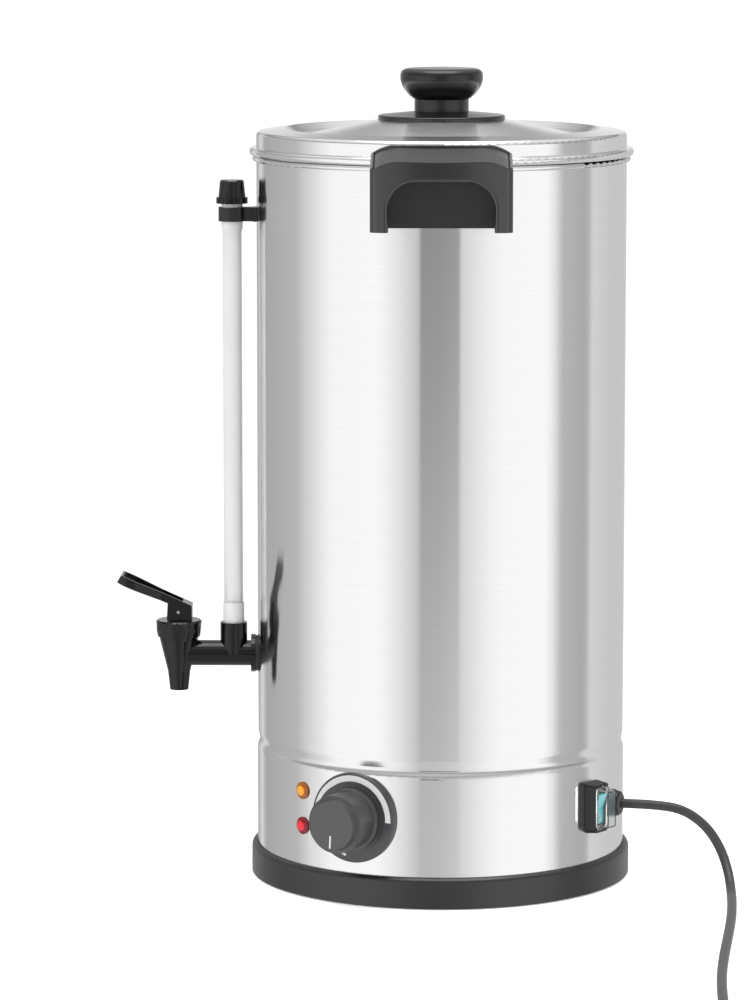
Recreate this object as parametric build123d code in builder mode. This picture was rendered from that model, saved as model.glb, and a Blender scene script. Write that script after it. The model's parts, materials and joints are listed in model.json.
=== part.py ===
from build123d import *
from math import cos, degrees, pi, radians, sin, tan
import os

# Hot water urn. Lengths are in millimetres and angles in degrees.
# +Z is up, the front handle points to -Y and the tap to -X. The origin is the
# middle of the foot ring's flat underside. Angles round the urn are counted
# from the front (-Y) towards +X, so the tap stands at -90.

# ---------------------------------------------------------------- clearances
face_gap = 0.05        # between flat faces that meet
seat_gap = 0.1         # between curved faces of fixed pieces
free_gap = 0.3         # between curved faces of pieces that move apart
pivot_gap = 0.05       # radial clearance of a pin in its hole
slide_gap = 0.2        # radial clearance of a stem or plug in its bore
rocker_gap = 0.4       # round the rocker in its frame
over = 1.0             # how far a cutting shape runs past what it cuts
bevel = 1.0            # small bevels on moulded edges
end_gap = 1.0          # screw or spigot short of the end of its hole
trim_reach = 9.0       # depth of a rim or gasket before the shell trims it

# ---------------------------------------------------------------- shell
shell_radius = 128.0
skirt_step = 0.5       # skirt below the groove, outside the shell above it
skirt_radius = shell_radius + skirt_step
sheet = 0.8            # stainless sheet of shell, floor and lid
groove_height = 94.5
groove_depth = 1.3
groove_below = 4.5     # where the groove starts under its deepest line
groove_above = 6.5     # and where it ends above it
groove_round = 6.5
rim_height = 501.2     # centre of the rolled rim
rim_bead = 1.9         # radius of the rolled rim
rim_offset = 0.9       # rolled rim's centre outside the shell's face

# ---------------------------------------------------------------- base
base_wall = 4.0        # base ring outside the skirt
base_radius = skirt_radius + base_wall
base_top = 21.6
base_clear = 1.0       # underside of the base ring above the table
base_round = 3.2
ledge_width = 16.5
base_inner_radius = skirt_radius - ledge_width
ledge_thickness = 2.5
shell_foot = 6.0       # shell's lower edge stands on the ledge here
foot_inset = 2.0
foot_radius = skirt_radius - foot_inset    # middle of the rubber foot ring
foot_width = 6.0
foot_height = 3.4
plate_thickness = 1.1
plate_inset = 10.8
plate_radius = skirt_radius - plate_inset
base_screw_inset = 2.7
base_screw_circle = plate_radius - base_screw_inset
base_screw_count = 4
base_screw_start = 45.0
base_screw_radius = 1.55
base_head_radius = 2.6
base_head_height = 1.0
base_boss_radius = 3.4
base_boss_height = 12.0
vent_count = 12
vent_circle = 70.0
vent_length = 24.0
vent_width = 4.0

# ---------------------------------------------------------------- tank floor
floor_rise = 5.5       # tank floor above the groove
floor_height = groove_height + floor_rise
floor_flange = 12.0
floor_round = 3.0

# ---------------------------------------------------------------- lid
lid_bead_overhang = 4.7
lid_bead_radius = shell_radius + lid_bead_overhang
lid_bead_height = 5.5
lid_bead_round = 2.45
lid_spigot_clear = 0.8
lid_spigot_radius = shell_radius - sheet - lid_spigot_clear
lid_spigot_depth = 12.0
lid_wall_height = 10.6
lid_shoulder_round = 3.0
lid_ring_width = 18.5
lid_ring_rise = 2.6        # ring's inner edge above its outer one
lid_ring_inner = shell_radius - lid_ring_width
lid_recess_step = 5.5
lid_recess_radius = lid_ring_inner - lid_recess_step
lid_recess_depth = 4.5      # below the ring's inner edge
lid_recess_width = 10.0
lid_cone_radius = lid_recess_radius - lid_recess_width
lid_cone_slope = 0.202
lid_middle_slope = 0.1      # under the knob's plate
lid_round = 1.5
lid_hole_radius = 2.9
rim_top = rim_height + rim_bead
bead_low = rim_top + slide_gap
bead_high = bead_low + lid_bead_height
lid_shoulder = bead_high + lid_wall_height
lid_ring_height = lid_shoulder + lid_ring_rise
lid_recess_height = lid_ring_height - lid_recess_depth

# ---------------------------------------------------------------- lid knob
knob_plate_radius = 43.8
knob_plate_thickness = 3.0
knob_plate_round = 1.2
knob_neck_radius = 18.7
knob_neck_height = 8.3
knob_rim_radius = 28.5
knob_bowl_height = 13.5
knob_bowl_share = 0.72     # bowl's spread at half its height
knob_crown_height = 7.9
knob_crown_run = 8.1       # rounded edge of the crown, across
knob_crown_drop = 5.3      # and down
lid_screw_radius = 2.5
lid_screw_head = 5.0
lid_screw_head_height = 2.6
lid_screw_depth = 14.0

# ---------------------------------------------------------------- handles
handle_reach = 51.0
handle_radius = shell_radius + handle_reach
handle_width = 94.0
handle_height = 55.0
handle_bottom = rim_height - 38.6
handle_ridge = handle_bottom + handle_height
handle_ridge_width = 53.0
handle_shoulder_drop = 8.6
handle_roof_slope = 9.8    # roof's fall towards its front edge
handle_roof_round = 2.2
handle_strip = 2.0         # raised strip along the roof's back and sides
handle_dish = 1.1          # roof's hollow below the strip
roof_steep = 0.8           # roof edges are flatter than this, corner edges steeper
handle_corner = 6.0
handle_lid_clear = 2.1
handle_rim_clear = lid_bead_radius + handle_lid_clear
handle_rim_start = rim_height - 10.7
handle_back = 6.0
handle_back_radius = shell_radius + handle_back
grip_width = 70.0
grip_top = rim_height - 5.0
grip_round = 18.0
grip_edge_round = 2.2
grip_lip = 7.0
grip_recess_width = 62.0
grip_recess_depth = 7.3
grip_recess_top = grip_top + grip_recess_depth
cheek_pocket_width = 6.5
cheek_pocket_start = shell_radius + 16.0
cheek_pocket_end = handle_radius - 11.0
cheek_pocket_height = 36.0
handle_screw_x = 41.0
handle_screw_height = rim_height - 24.2
handle_screw_radius = 2.5
handle_screw_length = 17.0
handle_head_radius = 4.8
handle_head_height = 2.6
handle_washer_radius = 6.0
handle_washer_thin = 0.8   # washer's thinnest edge
handle_washer_reach = handle_screw_x + handle_washer_radius
handle_washer_edge = ((shell_radius - sheet) ** 2 - handle_washer_reach ** 2) ** 0.5
handle_washer_plane = handle_washer_edge - handle_washer_thin

# ---------------------------------------------------------------- heater
heater_radius = 78.0
heater_thickness = 6.0
element_circle = 62.0
element_radius = 4.0
element_span = 300.0
terminal_radius = 1.6
terminal_length = 12.0
stud_circle = 48.0
stud_count = 3
stud_start = 90.0
stud_radius = 2.5
stud_length = 14.0
nut_across = 8.0
nut_height = 4.0
cutout_radius = 8.0
cutout_height = 7.0
cutout_ear = 24.0
bulb_radius = 3.0
bulb_length = 56.0
bulb_x = 26.0
clip_width = 8.0
clip_sheet = 1.0
clip_span = 16.2
tab_thickness = 1.0      # spade tabs of cut-out and switch
tab_width = 3.2
tab_length = 6.0

# ---------------------------------------------------------------- thermostat
control_angle = -27.0
control_rise = 38.9
control_height = base_top + control_rise
bezel_radius = 31.0
bezel_stand = 3.1
bezel_face = skirt_radius + bezel_stand
bezel_step_radius = 23.5
bezel_step = 1.2
bezel_round = 1.2
dial_base_radius = 21.6
dial_waist_radius = 19.8
dial_cap_radius = 16.6
dial_skirt = 3.0
dial_shoulder = 23.5
dial_height = 29.0
dial_gap = 0.5
spindle_radius = 3.0
spindle_depth = 17.0
bush_radius = 5.0
bush_length = 5.2
control_box = 34.0
control_box_depth = 24.0
control_box_inset = 3.9
control_box_face = skirt_radius - control_box_inset
control_screw_offset = 13.5
control_screw_radius = 2.0
control_head_radius = 3.6
control_head_height = 1.6
control_screw_grip = 6.0
control_bore_depth = 12.0
spindle_inside = 8.0
capillary_radius = 0.9
capillary_bend = 6.0
capillary_lead = (7.0, 14.0)   # first run, from the thermostat's back
capillary_tail = 16.0          # last run, into the bulb
capillary_bends = [(-22.0, -60.0, 70.0), (10.0, -52.0, 85.0)]

# ---------------------------------------------------------------- lamps
lamp_angle = -47.0
lamp_heights = (base_top + 51.9, base_top + 27.4)
lamp_radius = 6.0
lamp_dome = 2.2
lamp_rim = 0.8
lamp_body_radius = 5.0
lamp_body_length = 18.0
lamp_clip_radius = 7.0
lamp_clip_thickness = 1.6

# ---------------------------------------------------------------- switch
switch_angle = 54.3
switch_height = base_top + 38.6
switch_frame_width = 15.6
switch_frame_height = 33.6
switch_frame_taper = 8.0   # frame widens towards the shell
switch_stand = 8.0
switch_frame_face = skirt_radius + switch_stand
switch_frame_round = 2.5
switch_body_width = 13.4
switch_body_height = 30.0
switch_body_depth = 24.0
switch_tabs_across = 6.0
switch_tabs_up = 15.0
rocker_width = 9.0
rocker_radius = 11.2
rocker_tilt = 8.0
rocker_recess = 11.0
rocker_axis_depth = 5.2    # rocker's axis behind the frame's face
rocker_half = 10.4
rocker_keel = 3.2
rocker_dip = 1.8
trunnion_radius = 1.5
trunnion_length = 1.9      # each side of the rocker
cover_rim = 1.2
cover_lip = 0.6            # cover's rim past its wall
cover_wall = 0.8
cover_bulge = 8.5
cover_width = 12.6
cover_height = 28.6
cover_taper = 12.0
cover_round = 3.0

# ---------------------------------------------------------------- cord entry
gland_angle = 67.0
gland_height = 58.0
gland_flange_radius = 9.5
gland_flange = 2.0
gland_face = skirt_radius + seat_gap     # seat of the gland's flange
gland_thread_radius = 6.0
gland_nut_radius = 8.5
gland_nut_length = 5.2
gland_nut_round = 2.0
gland_rib_count = 10
gland_rib_depth = 0.7
gland_inside = 9.0
locknut_across = 19.0
locknut_thickness = 4.0
locknut_inset = 0.6
locknut_face = skirt_radius - sheet - locknut_inset
block_length = 30.0
block_width = 15.0
block_height = 13.0
block_well = 2.4
block_well_depth = 6.5
block_wells = 3
block_circle = plate_radius - 29.7
earth_circle = plate_radius - 25.7
earth_angle = 100.0

# ---------------------------------------------------------------- cord
cord_radius = 3.3
cord_bore = 3.5
cord_route = [
    (117.4, -49.8, 58.0), (129.8, -55.1, 58.2), (145.5, -58.8, 58.4), (166.9, -60.0, 55.9),
    (183.5, -60.0, 44.2), (193.6, -64.0, 29.3), (198.6, -75.0, 14.4), (199.6, -93.0, 3.6),
    (198.2, -122.0, 3.6), (195.0, -166.0, 3.6), (189.8, -216.0, 3.6), (184.0, -268.0, 3.6),
    (178.9, -322.0, 3.6), (175.9, -376.0, 3.6), (174.8, -430.0, 3.6), (174.4, -477.2, 3.6)]
coil_x = 131.7
coil_y = -502.0
coil_outer = 46.0
coil_inner = 26.0
coil_height = 13.4
coil_lift = 0.3
coil_round = 3.0
plug_tail = (111.0, -547.7, 5.6)
plug_heading = 187.0   # direction the plug points to, from +X towards +Y
plug_pitch = 18.6      # nose up, as it rests on its rim and its tail
plug_tail_radius = 4.8
plug_grip_radius = 13.0
plug_face_radius = 18.4
plug_tail_length = 16.0
plug_grip_length = 22.0
plug_face_length = 13.0
pin_radius = 2.4
pin_length = 19.0
pin_spacing = 19.0

# ---------------------------------------------------------------- tap
tap_reach = 55.5
tap_x = -shell_radius - tap_reach
pipe_height = 153.9
pipe_radius = 8.9
pipe_bore = 5.0
flange_radius = 13.3
flange_thickness = 3.0
tap_gasket_thickness = 1.7
flange_back = shell_radius + tap_gasket_thickness
shank_radius = 8.0
shank_inside = 18.0
shank_end = shell_radius - shank_inside
tap_gasket_radius = 12.5
tap_nut_across = 27.0
tap_nut_thickness = 5.0
tank_gasket_thickness = 4.2
tap_nut_face = shell_radius - sheet - tank_gasket_thickness
tap_top = pipe_height + 11.9
tap_top_radius = 13.4
tap_waist_height = pipe_height - 12.8
tap_waist_radius = 7.9
nozzle_radius = 6.5
nozzle_bottom = pipe_height - 25.8
nozzle_bore = 4.4
chamber_radius = 8.2
chamber_step = pipe_height - 3.4
seat_bore = 6.6
chamber_floor = pipe_height - 8.4
tee_reach = 17.0
tee_x = -shell_radius - tee_reach
tee_top = pipe_height + 22.1
sleeve_floor = pipe_height + 9.7

bonnet_height = 11.5
bonnet_bottom = tap_top + slide_gap
bonnet_top = bonnet_bottom + bonnet_height
bonnet_low_radius = 14.9
bonnet_top_radius = 16.0
bonnet_roof = 3.6
bonnet_flute_count = 12
bonnet_flute_radius = 1.3
neck_radius = 11.6
neck_top = bonnet_top - bonnet_roof - 1.3

stem_radius = 3.0
stem_spigot = 2.0
stem_flange_radius = 5.8
stem_flange = 1.6
tongue_thickness = 3.4
tongue_length = 5.0
tongue_start = bonnet_top - 2.4
seat_radius = 6.2
seat_thickness = 3.45
stem_foot = chamber_floor + seat_gap + seat_thickness + face_gap
spring_radius = 6.0
spring_wire = 0.5
spring_turns = 6

lever_pin_rise = 6.2   # lever's pin above the bonnet
lever_pin_radius = 1.0
lever_width = 15.6
lever_tip_width = 25.0
lever_heel = 9.6       # pin to the lever's flat heel
lever_heel_height = 4.6
lever_tip_low = (-42.7, 21.2)
lever_tip_high = (-39.4, 26.6)
lever_root = (-7.4, 6.4)
lever_widening = (-12.0, -30.0)
lever_tip_round = 9.0
lever_slot_length = 12.4
lever_slot_rise = 3.7
lever_rim = 1.3        # round the hollow in the lever's top
lever_hollow = 2.2
lever_hollow_end = 3.0
cam_lift = 5.0         # lift in millimetres for each radian of the lever
lever_travel = 25.0
cam_clear = 0.1

# ---------------------------------------------------------------- sight gauge
tube_radius = 6.6
tube_bore = 5.0
tube_top = rim_height - 32.8
sleeve_gap = 0.05
sleeve_wall = 0.7
sleeve_radius = tube_radius + sleeve_gap + sleeve_wall
lower_sleeve_top = sleeve_floor + 26.4
upper_sleeve_length = 17.7
upper_sleeve_top = tube_top + 0.8
upper_sleeve_bottom = upper_sleeve_top - upper_sleeve_length
socket_wall = 1.95     # of the tee's socket and the bracket's band
tee_radius = sleeve_radius + seat_gap + socket_wall
bracket_height = 9.7
bracket_bottom = tube_top - 11.2
bracket_top = bracket_bottom + bracket_height
bracket_radius = sleeve_radius + seat_gap + socket_wall
bracket_arm = 8.0
bracket_foot = 16.0
bracket_foot_depth = 2.4
bracket_screw_radius = 2.0
bracket_screw_length = 7.0
bracket_head_radius = 3.8
bracket_head_height = 2.6
cap_seat = upper_sleeve_top + free_gap
cap_flange = 4.3
cap_flange_radius = 10.9
cap_low_radius = 9.4
cap_top_radius = 8.3
cap_height = 16.3
cap_top = cap_seat + cap_height
cap_flutes = 24
cap_flute_radius = 0.55
cap_facets = 10
cap_facet_radius = 1.1
cap_plug_radius = tube_bore - free_gap
cap_plug_length = 9.0


# ================================================================ helpers
def radial_plane(angle, radius, height=0.0):
    """Plane square to a radius of the urn, x to the right from outside and y up."""
    outward = Vector(sin(radians(angle)), -cos(radians(angle)), 0)
    rightward = Vector(cos(radians(angle)), sin(radians(angle)), 0)
    return Plane(origin=outward * radius + Vector(0, 0, height), x_dir=rightward, z_dir=outward)


def revolved_sheet(points, radii, thickness, side):
    """Sheet metal turned round Z along a line of (radius, height) points."""
    with BuildPart() as sheet_part:
        with BuildSketch(Plane.XZ):
            with BuildLine():
                FilletPolyline(*points, radius=radii)
                offset(amount=thickness, side=side, closed=True, mode=Mode.ADD)
            make_face()
        revolve(axis=Axis.Z)
    return sheet_part.part


def side_plane(face_plane):
    """Plane through a face plane's axis, x across it and y outwards along it."""
    return Plane(origin=face_plane.origin, x_dir=face_plane.x_dir, z_dir=-face_plane.y_dir)


def plane_axis(face_plane):
    """The axis that stands on a face plane at its origin."""
    return Axis(face_plane.origin, face_plane.z_dir)


def shell_solid(radius, low, high):
    """Cylinder on the urn's axis, to shape what lies against the shell."""
    with BuildPart() as solid:
        with BuildSketch(Plane.XY.offset(low)):
            Circle(radius)
        extrude(amount=high - low)
    return solid.part


def write_node(part, name):
    """Label a finished piece and write it as its own node."""
    part.label = name
    export_step(part, f"parts/{name}.step")


def lid_surface(radius):
    """Height of the lid's top at a radius: a cone with a flatter middle."""
    if radius > knob_plate_radius:
        return lid_recess_height + (lid_cone_radius - radius) * lid_cone_slope
    middle_edge = lid_recess_height + (lid_cone_radius - knob_plate_radius) * lid_cone_slope
    return middle_edge + (knob_plate_radius - radius) * lid_middle_slope


os.makedirs("parts", exist_ok=True)
skirt_mask = shell_solid(skirt_radius + seat_gap, 0, groove_height)
shell_mask = shell_solid(shell_radius + seat_gap, groove_height, rim_height)
tank_inside = shell_solid(shell_radius - sheet - seat_gap, floor_height, rim_height)

# ================================================================ shell and tank
groove_low = groove_height - groove_below
groove_high = groove_height + groove_above
shell_line = [
    (skirt_radius - sheet, shell_foot), (skirt_radius - sheet, groove_low),
    (shell_radius - groove_depth - sheet, groove_height),
    (shell_radius - sheet, groove_high), (shell_radius - sheet, rim_height)]

with BuildPart() as outer_shell:
    with BuildSketch(Plane.XZ):
        with BuildLine():
            FilletPolyline(*shell_line, radius=groove_round)
            offset(amount=sheet, side=Side.RIGHT, closed=True, mode=Mode.ADD)
        make_face()
    revolve(axis=Axis.Z)
    with BuildSketch(Plane.XZ):
        with Locations((shell_radius + rim_offset, rim_height)):
            Circle(rim_bead)
    revolve(axis=Axis.Z)
    # tap shank and gauge bracket screw
    with BuildSketch(Plane.YZ.offset(-skirt_radius - over)):
        with Locations((0, pipe_height)):
            Circle(shank_radius + seat_gap)
        with Locations((0, (bracket_bottom + bracket_top) / 2)):
            Circle(bracket_screw_radius + seat_gap)
    extrude(amount=skirt_radius, mode=Mode.SUBTRACT)
    # handle screws, front and rear
    with BuildSketch(Plane.XZ):
        with Locations((-handle_screw_x, handle_screw_height), (handle_screw_x, handle_screw_height)):
            Circle(handle_screw_radius + seat_gap)
    extrude(amount=skirt_radius + over, both=True, mode=Mode.SUBTRACT)
    # thermostat bush and its two screws
    with BuildSketch(radial_plane(control_angle, skirt_radius + over, control_height)):
        Circle(bush_radius + seat_gap)
        with Locations((0, control_screw_offset), (0, -control_screw_offset)):
            Circle(control_screw_radius + seat_gap)
    extrude(amount=-skirt_radius, mode=Mode.SUBTRACT)
    # pilot lamps
    for lamp_height in lamp_heights:
        with BuildSketch(radial_plane(lamp_angle, skirt_radius + over, lamp_height)):
            Circle(lamp_body_radius + seat_gap)
        extrude(amount=-skirt_radius, mode=Mode.SUBTRACT)
    # switch and cord entry
    with BuildSketch(radial_plane(switch_angle, skirt_radius + over, switch_height)):
        Rectangle(switch_body_width + 2 * seat_gap, switch_body_height + 2 * seat_gap)
    extrude(amount=-skirt_radius, mode=Mode.SUBTRACT)
    with BuildSketch(radial_plane(gland_angle, skirt_radius + over, gland_height)):
        Circle(gland_thread_radius + seat_gap)
    extrude(amount=-skirt_radius, mode=Mode.SUBTRACT)
write_node(outer_shell.part, "outer_shell")

floor_radius = shell_radius - sheet - seat_gap
tank_floor = revolved_sheet(
    [(0, floor_height), (floor_radius, floor_height), (floor_radius, floor_height + floor_flange)],
    floor_round, sheet, Side.LEFT)
write_node(tank_floor, "tank_floor")

# ================================================================ base
ledge_bottom = shell_foot - ledge_thickness
pocket_radius = plate_radius + free_gap
foot_low = foot_radius - foot_width / 2
foot_high = foot_radius + foot_width / 2
boss_hole = base_screw_radius + pivot_gap

with BuildPart() as base_ring:
    with BuildSketch(Plane.XZ) as ring_profile:
        with BuildLine():
            Polyline(
                (base_inner_radius, ledge_bottom), (pocket_radius, ledge_bottom),
                (pocket_radius, base_clear), (base_radius, base_clear), (base_radius, base_top),
                (skirt_radius + free_gap, base_top), (skirt_radius + free_gap, shell_foot),
                (base_inner_radius, shell_foot), close=True)
        make_face()
        fillet(ring_profile.vertices().group_by(Axis.Y)[-1].sort_by(Axis.X)[-1], base_round)
    revolve(axis=Axis.Z)
    with BuildSketch(Plane.XY.offset(base_clear)):
        Circle(foot_high + seat_gap)
        Circle(foot_low - seat_gap, mode=Mode.SUBTRACT)
    extrude(amount=foot_height - base_clear + face_gap, mode=Mode.SUBTRACT)
    with BuildSketch(Plane.XY.offset(shell_foot - over)):
        with PolarLocations(base_screw_circle, base_screw_count, start_angle=base_screw_start):
            Circle(base_boss_radius)
    extrude(amount=base_boss_height + over)
    with BuildSketch(Plane.XY.offset(ledge_bottom)):
        with PolarLocations(base_screw_circle, base_screw_count, start_angle=base_screw_start):
            Circle(boss_hole)
    extrude(amount=base_boss_height, mode=Mode.SUBTRACT)
write_node(base_ring.part, "base_ring")

with BuildPart() as foot_ring:
    with BuildSketch(Plane.XY):
        Circle(foot_high)
        Circle(foot_low, mode=Mode.SUBTRACT)
    extrude(amount=foot_height)
write_node(foot_ring.part, "foot_ring")

plate_top = ledge_bottom - face_gap
with BuildPart() as bottom_plate:
    with BuildSketch(Plane.XY.offset(plate_top - plate_thickness)):
        Circle(plate_radius)
        with PolarLocations(base_screw_circle, base_screw_count, start_angle=base_screw_start):
            Circle(boss_hole + seat_gap, mode=Mode.SUBTRACT)
        with PolarLocations(vent_circle, vent_count):
            SlotOverall(vent_length, vent_width, mode=Mode.SUBTRACT)
    extrude(amount=plate_thickness)
write_node(bottom_plate.part, "bottom_plate")

screw_head_top = plate_top - plate_thickness - face_gap
with BuildPart() as base_screws:
    with BuildSketch(Plane.XY.offset(screw_head_top - base_head_height)):
        with PolarLocations(base_screw_circle, base_screw_count, start_angle=base_screw_start):
            Circle(base_head_radius)
    extrude(amount=base_head_height)
    with BuildSketch(Plane.XY.offset(screw_head_top)):
        with PolarLocations(base_screw_circle, base_screw_count, start_angle=base_screw_start):
            Circle(base_screw_radius)
    extrude(amount=base_boss_height)
write_node(base_screws.part, "base_screws")

# ================================================================ lid
lid_line = [
    (lid_spigot_radius, bead_low - lid_spigot_depth), (lid_spigot_radius, bead_low),
    (lid_bead_radius, bead_low), (lid_bead_radius, bead_high), (shell_radius, bead_high),
    (shell_radius, lid_shoulder), (lid_ring_inner, lid_ring_height),
    (lid_recess_radius, lid_recess_height), (lid_cone_radius, lid_recess_height),
    (knob_plate_radius, lid_surface(knob_plate_radius)), (lid_hole_radius, lid_surface(lid_hole_radius))]
bead_round = min(lid_bead_round, 0.45 * lid_bead_height)
fold_round = sheet / 2
lid_rounds = [
    fold_round, bead_round, bead_round, fold_round,
    lid_shoulder_round, lid_round, lid_round, lid_round, lid_round]
lid_pan = revolved_sheet(lid_line, lid_rounds, sheet, Side.LEFT)
write_node(lid_pan, "lid_pan")

plate_low = lid_surface(knob_plate_radius) + face_gap
plate_high = lid_surface(lid_hole_radius) + face_gap
with BuildPart() as lid_knob_plate:
    with BuildSketch(Plane.XZ) as plate_profile:
        with BuildLine():
            Polyline(
                (lid_hole_radius, plate_high), (knob_plate_radius, plate_low),
                (knob_plate_radius, plate_low + knob_plate_thickness),
                (lid_hole_radius, plate_high + knob_plate_thickness), close=True)
        make_face()
        fillet(plate_profile.vertices().group_by(Axis.X)[-1].sort_by(Axis.Y)[-1], knob_plate_round)
    revolve(axis=Axis.Z)
write_node(lid_knob_plate.part, "lid_knob_plate")

neck_lift = 2 * face_gap + knob_plate_thickness
neck_bottom = lid_surface(knob_neck_radius) + neck_lift
neck_top_height = neck_bottom + knob_neck_height
knob_seat_inner = lid_surface(lid_screw_radius) + neck_lift
knob_parting = neck_top_height + knob_bowl_height
knob_top = knob_parting + knob_crown_height
bowl_spread = knob_bowl_share * (knob_rim_radius - knob_neck_radius)
bowl_middle = (knob_neck_radius + bowl_spread, (neck_top_height + knob_parting) / 2)
with BuildPart() as lid_knob:
    with BuildSketch(Plane.XZ):
        with BuildLine():
            Polyline(
                (0, knob_parting), (0, knob_seat_inner), (lid_screw_radius, knob_seat_inner),
                (knob_neck_radius, neck_bottom), (knob_neck_radius, neck_top_height))
            ThreePointArc(
                (knob_neck_radius, neck_top_height), bowl_middle, (knob_rim_radius, knob_parting))
            Line((knob_rim_radius, knob_parting), (0, knob_parting))
        make_face()
    revolve(axis=Axis.Z)
    with BuildSketch(Plane.XY.offset(knob_seat_inner - over)):
        Circle(lid_screw_radius + pivot_gap)
    extrude(amount=lid_screw_depth + over, mode=Mode.SUBTRACT)
write_node(lid_knob.part, "lid_knob")

crown_bottom = knob_parting + face_gap
with BuildPart() as knob_crown:
    with BuildSketch(Plane.XZ):
        with BuildLine():
            Polyline(
                (knob_rim_radius - knob_crown_run, knob_top), (0, knob_top), (0, crown_bottom),
                (knob_rim_radius, crown_bottom), (knob_rim_radius, knob_top - knob_crown_drop))
            Spline(
                (knob_rim_radius, knob_top - knob_crown_drop), (knob_rim_radius - knob_crown_run, knob_top),
                tangents=[(0, 1), (-1, 0)])
        make_face()
    revolve(axis=Axis.Z)
write_node(knob_crown.part, "knob_crown")

slanted_sheet = sheet * (1 + lid_middle_slope ** 2) ** 0.5
lid_under = lid_surface(lid_screw_head) - slanted_sheet - face_gap
with BuildPart() as lid_screw:
    with BuildSketch(Plane.XY.offset(lid_under - lid_screw_head_height)):
        Circle(lid_screw_head)
    extrude(amount=lid_screw_head_height)
    with BuildSketch(Plane.XY.offset(lid_under)):
        Circle(lid_screw_radius)
    extrude(amount=knob_seat_inner + lid_screw_depth - end_gap - lid_under)
write_node(lid_screw.part, "lid_screw")

# ================================================================ handles
handle_seat = shell_radius + seat_gap
roof_start = handle_seat / 2
roof_run = (0, -cos(radians(handle_roof_slope)), -sin(radians(handle_roof_slope)))
ridge_start = handle_ridge + (handle_rim_clear - roof_start) * tan(radians(handle_roof_slope))
ridge_side = handle_ridge_width / 2
roof_edge = handle_width / 2 + over
above = ridge_start + handle_height


def above_roof(drop, width):
    """What lies above the roof between round shoulders, within a width."""
    ridge = ridge_start - drop
    shoulder = ridge - handle_shoulder_drop
    with BuildPart() as cut:
        with BuildSketch(Plane.XZ.offset(roof_start)):
            with BuildLine():
                Line((-ridge_side, ridge), (ridge_side, ridge))
                TangentArc((ridge_side, ridge), (roof_edge, shoulder), tangent=(1, 0))
                TangentArc((-ridge_side, ridge), (-roof_edge, shoulder), tangent=(-1, 0))
                Polyline((roof_edge, shoulder), (roof_edge, above), (-roof_edge, above), (-roof_edge, shoulder))
            make_face()
            with Locations((0, above)):
                Rectangle(width, 2 * handle_height, align=(Align.CENTER, Align.MAX), mode=Mode.INTERSECT)
        extrude(amount=handle_radius, dir=roof_run)
    return cut.part


dish_radius = handle_rim_clear + handle_strip
front_line = (handle_radius ** 2 - (handle_width / 2) ** 2) ** 0.5 - handle_corner
roof_middle = (handle_bottom + handle_ridge) / 2
with BuildPart() as roof_dish:
    add(above_roof(handle_dish, handle_width - 2 * handle_strip))
    with BuildSketch(Plane.XY.offset(handle_bottom)):
        Circle(dish_radius)
    extrude(amount=2 * handle_height, mode=Mode.SUBTRACT)

with BuildPart() as handle_front:
    # plan: an arc in front, the shell's curve behind, straight cheeks
    with BuildSketch(Plane.XY.offset(handle_bottom)) as plan:
        Circle(handle_radius)
        Circle(handle_seat, mode=Mode.SUBTRACT)
        with Locations((0, -handle_radius)):
            Rectangle(handle_width, handle_radius, mode=Mode.INTERSECT)
        fillet(plan.vertices().group_by(Axis.Y)[0], handle_corner)
    extrude(amount=handle_height)
    # roof with round shoulders and a rounded edge, falling to the front, and the hollow in it
    add(above_roof(0, 2 * roof_edge), mode=Mode.SUBTRACT)
    front_edges = [
        edge for edge in handle_front.edges()
        if edge.center().Y < -front_line and edge.center().Z > roof_middle
        and abs(edge.tangent_at(0.5).Z) < roof_steep]
    fillet(front_edges, handle_roof_round)
    add(roof_dish.part, mode=Mode.SUBTRACT)
    # arched opening for the fingers, with a rounded lip
    with BuildSketch(Plane.XZ.offset(handle_back_radius)) as arch:
        with Locations((0, handle_bottom - over)):
            Rectangle(grip_width, grip_top - handle_bottom + over, align=(Align.CENTER, Align.MIN))
        fillet(arch.vertices().group_by(Axis.Y)[-1], grip_round)
    extrude(amount=handle_radius, mode=Mode.SUBTRACT)
    lip_edges = [
        edge for edge in handle_front.edges()
        if edge.center().Y < -front_line and edge.center().Z < grip_top + over
        and abs(edge.center().X) < grip_width / 2 + over and edge.center().Z > handle_bottom + over]
    fillet(lip_edges, grip_edge_round)
    # recess behind the lip
    with BuildSketch(Plane.XY.offset(grip_top - grip_round)):
        with Locations((0, -(handle_back_radius + handle_radius - grip_lip) / 2)):
            Rectangle(grip_recess_width - grip_round, handle_radius - grip_lip - handle_back_radius)
    extrude(amount=grip_recess_depth + grip_round, mode=Mode.SUBTRACT)
    # room for the rolled rim and the lid's bead behind the handle
    with BuildSketch(Plane.XZ):
        with BuildLine():
            Polyline(
                (shell_radius - over, handle_rim_start), (handle_seat, handle_rim_start),
                (handle_rim_clear, handle_rim_start + handle_rim_clear - handle_seat),
                (handle_rim_clear, above), (shell_radius - over, above), close=True)
        make_face()
    revolve(axis=Axis.Z, mode=Mode.SUBTRACT)
    # hollow cheeks, open below, and the screws' pilot holes
    with BuildSketch(Plane.XY.offset(handle_bottom - over)):
        with Locations((0, -(cheek_pocket_start + cheek_pocket_end) / 2)):
            with GridLocations(2 * handle_screw_x, 0, 2, 1):
                Rectangle(cheek_pocket_width, cheek_pocket_end - cheek_pocket_start)
    extrude(amount=cheek_pocket_height, mode=Mode.SUBTRACT)
    with BuildSketch(Plane.XZ.offset(handle_washer_plane)):
        with Locations((-handle_screw_x, handle_screw_height), (handle_screw_x, handle_screw_height)):
            Circle(handle_screw_radius + pivot_gap)
    extrude(amount=handle_screw_length + over, mode=Mode.SUBTRACT)
write_node(handle_front.part, "handle_front")

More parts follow.
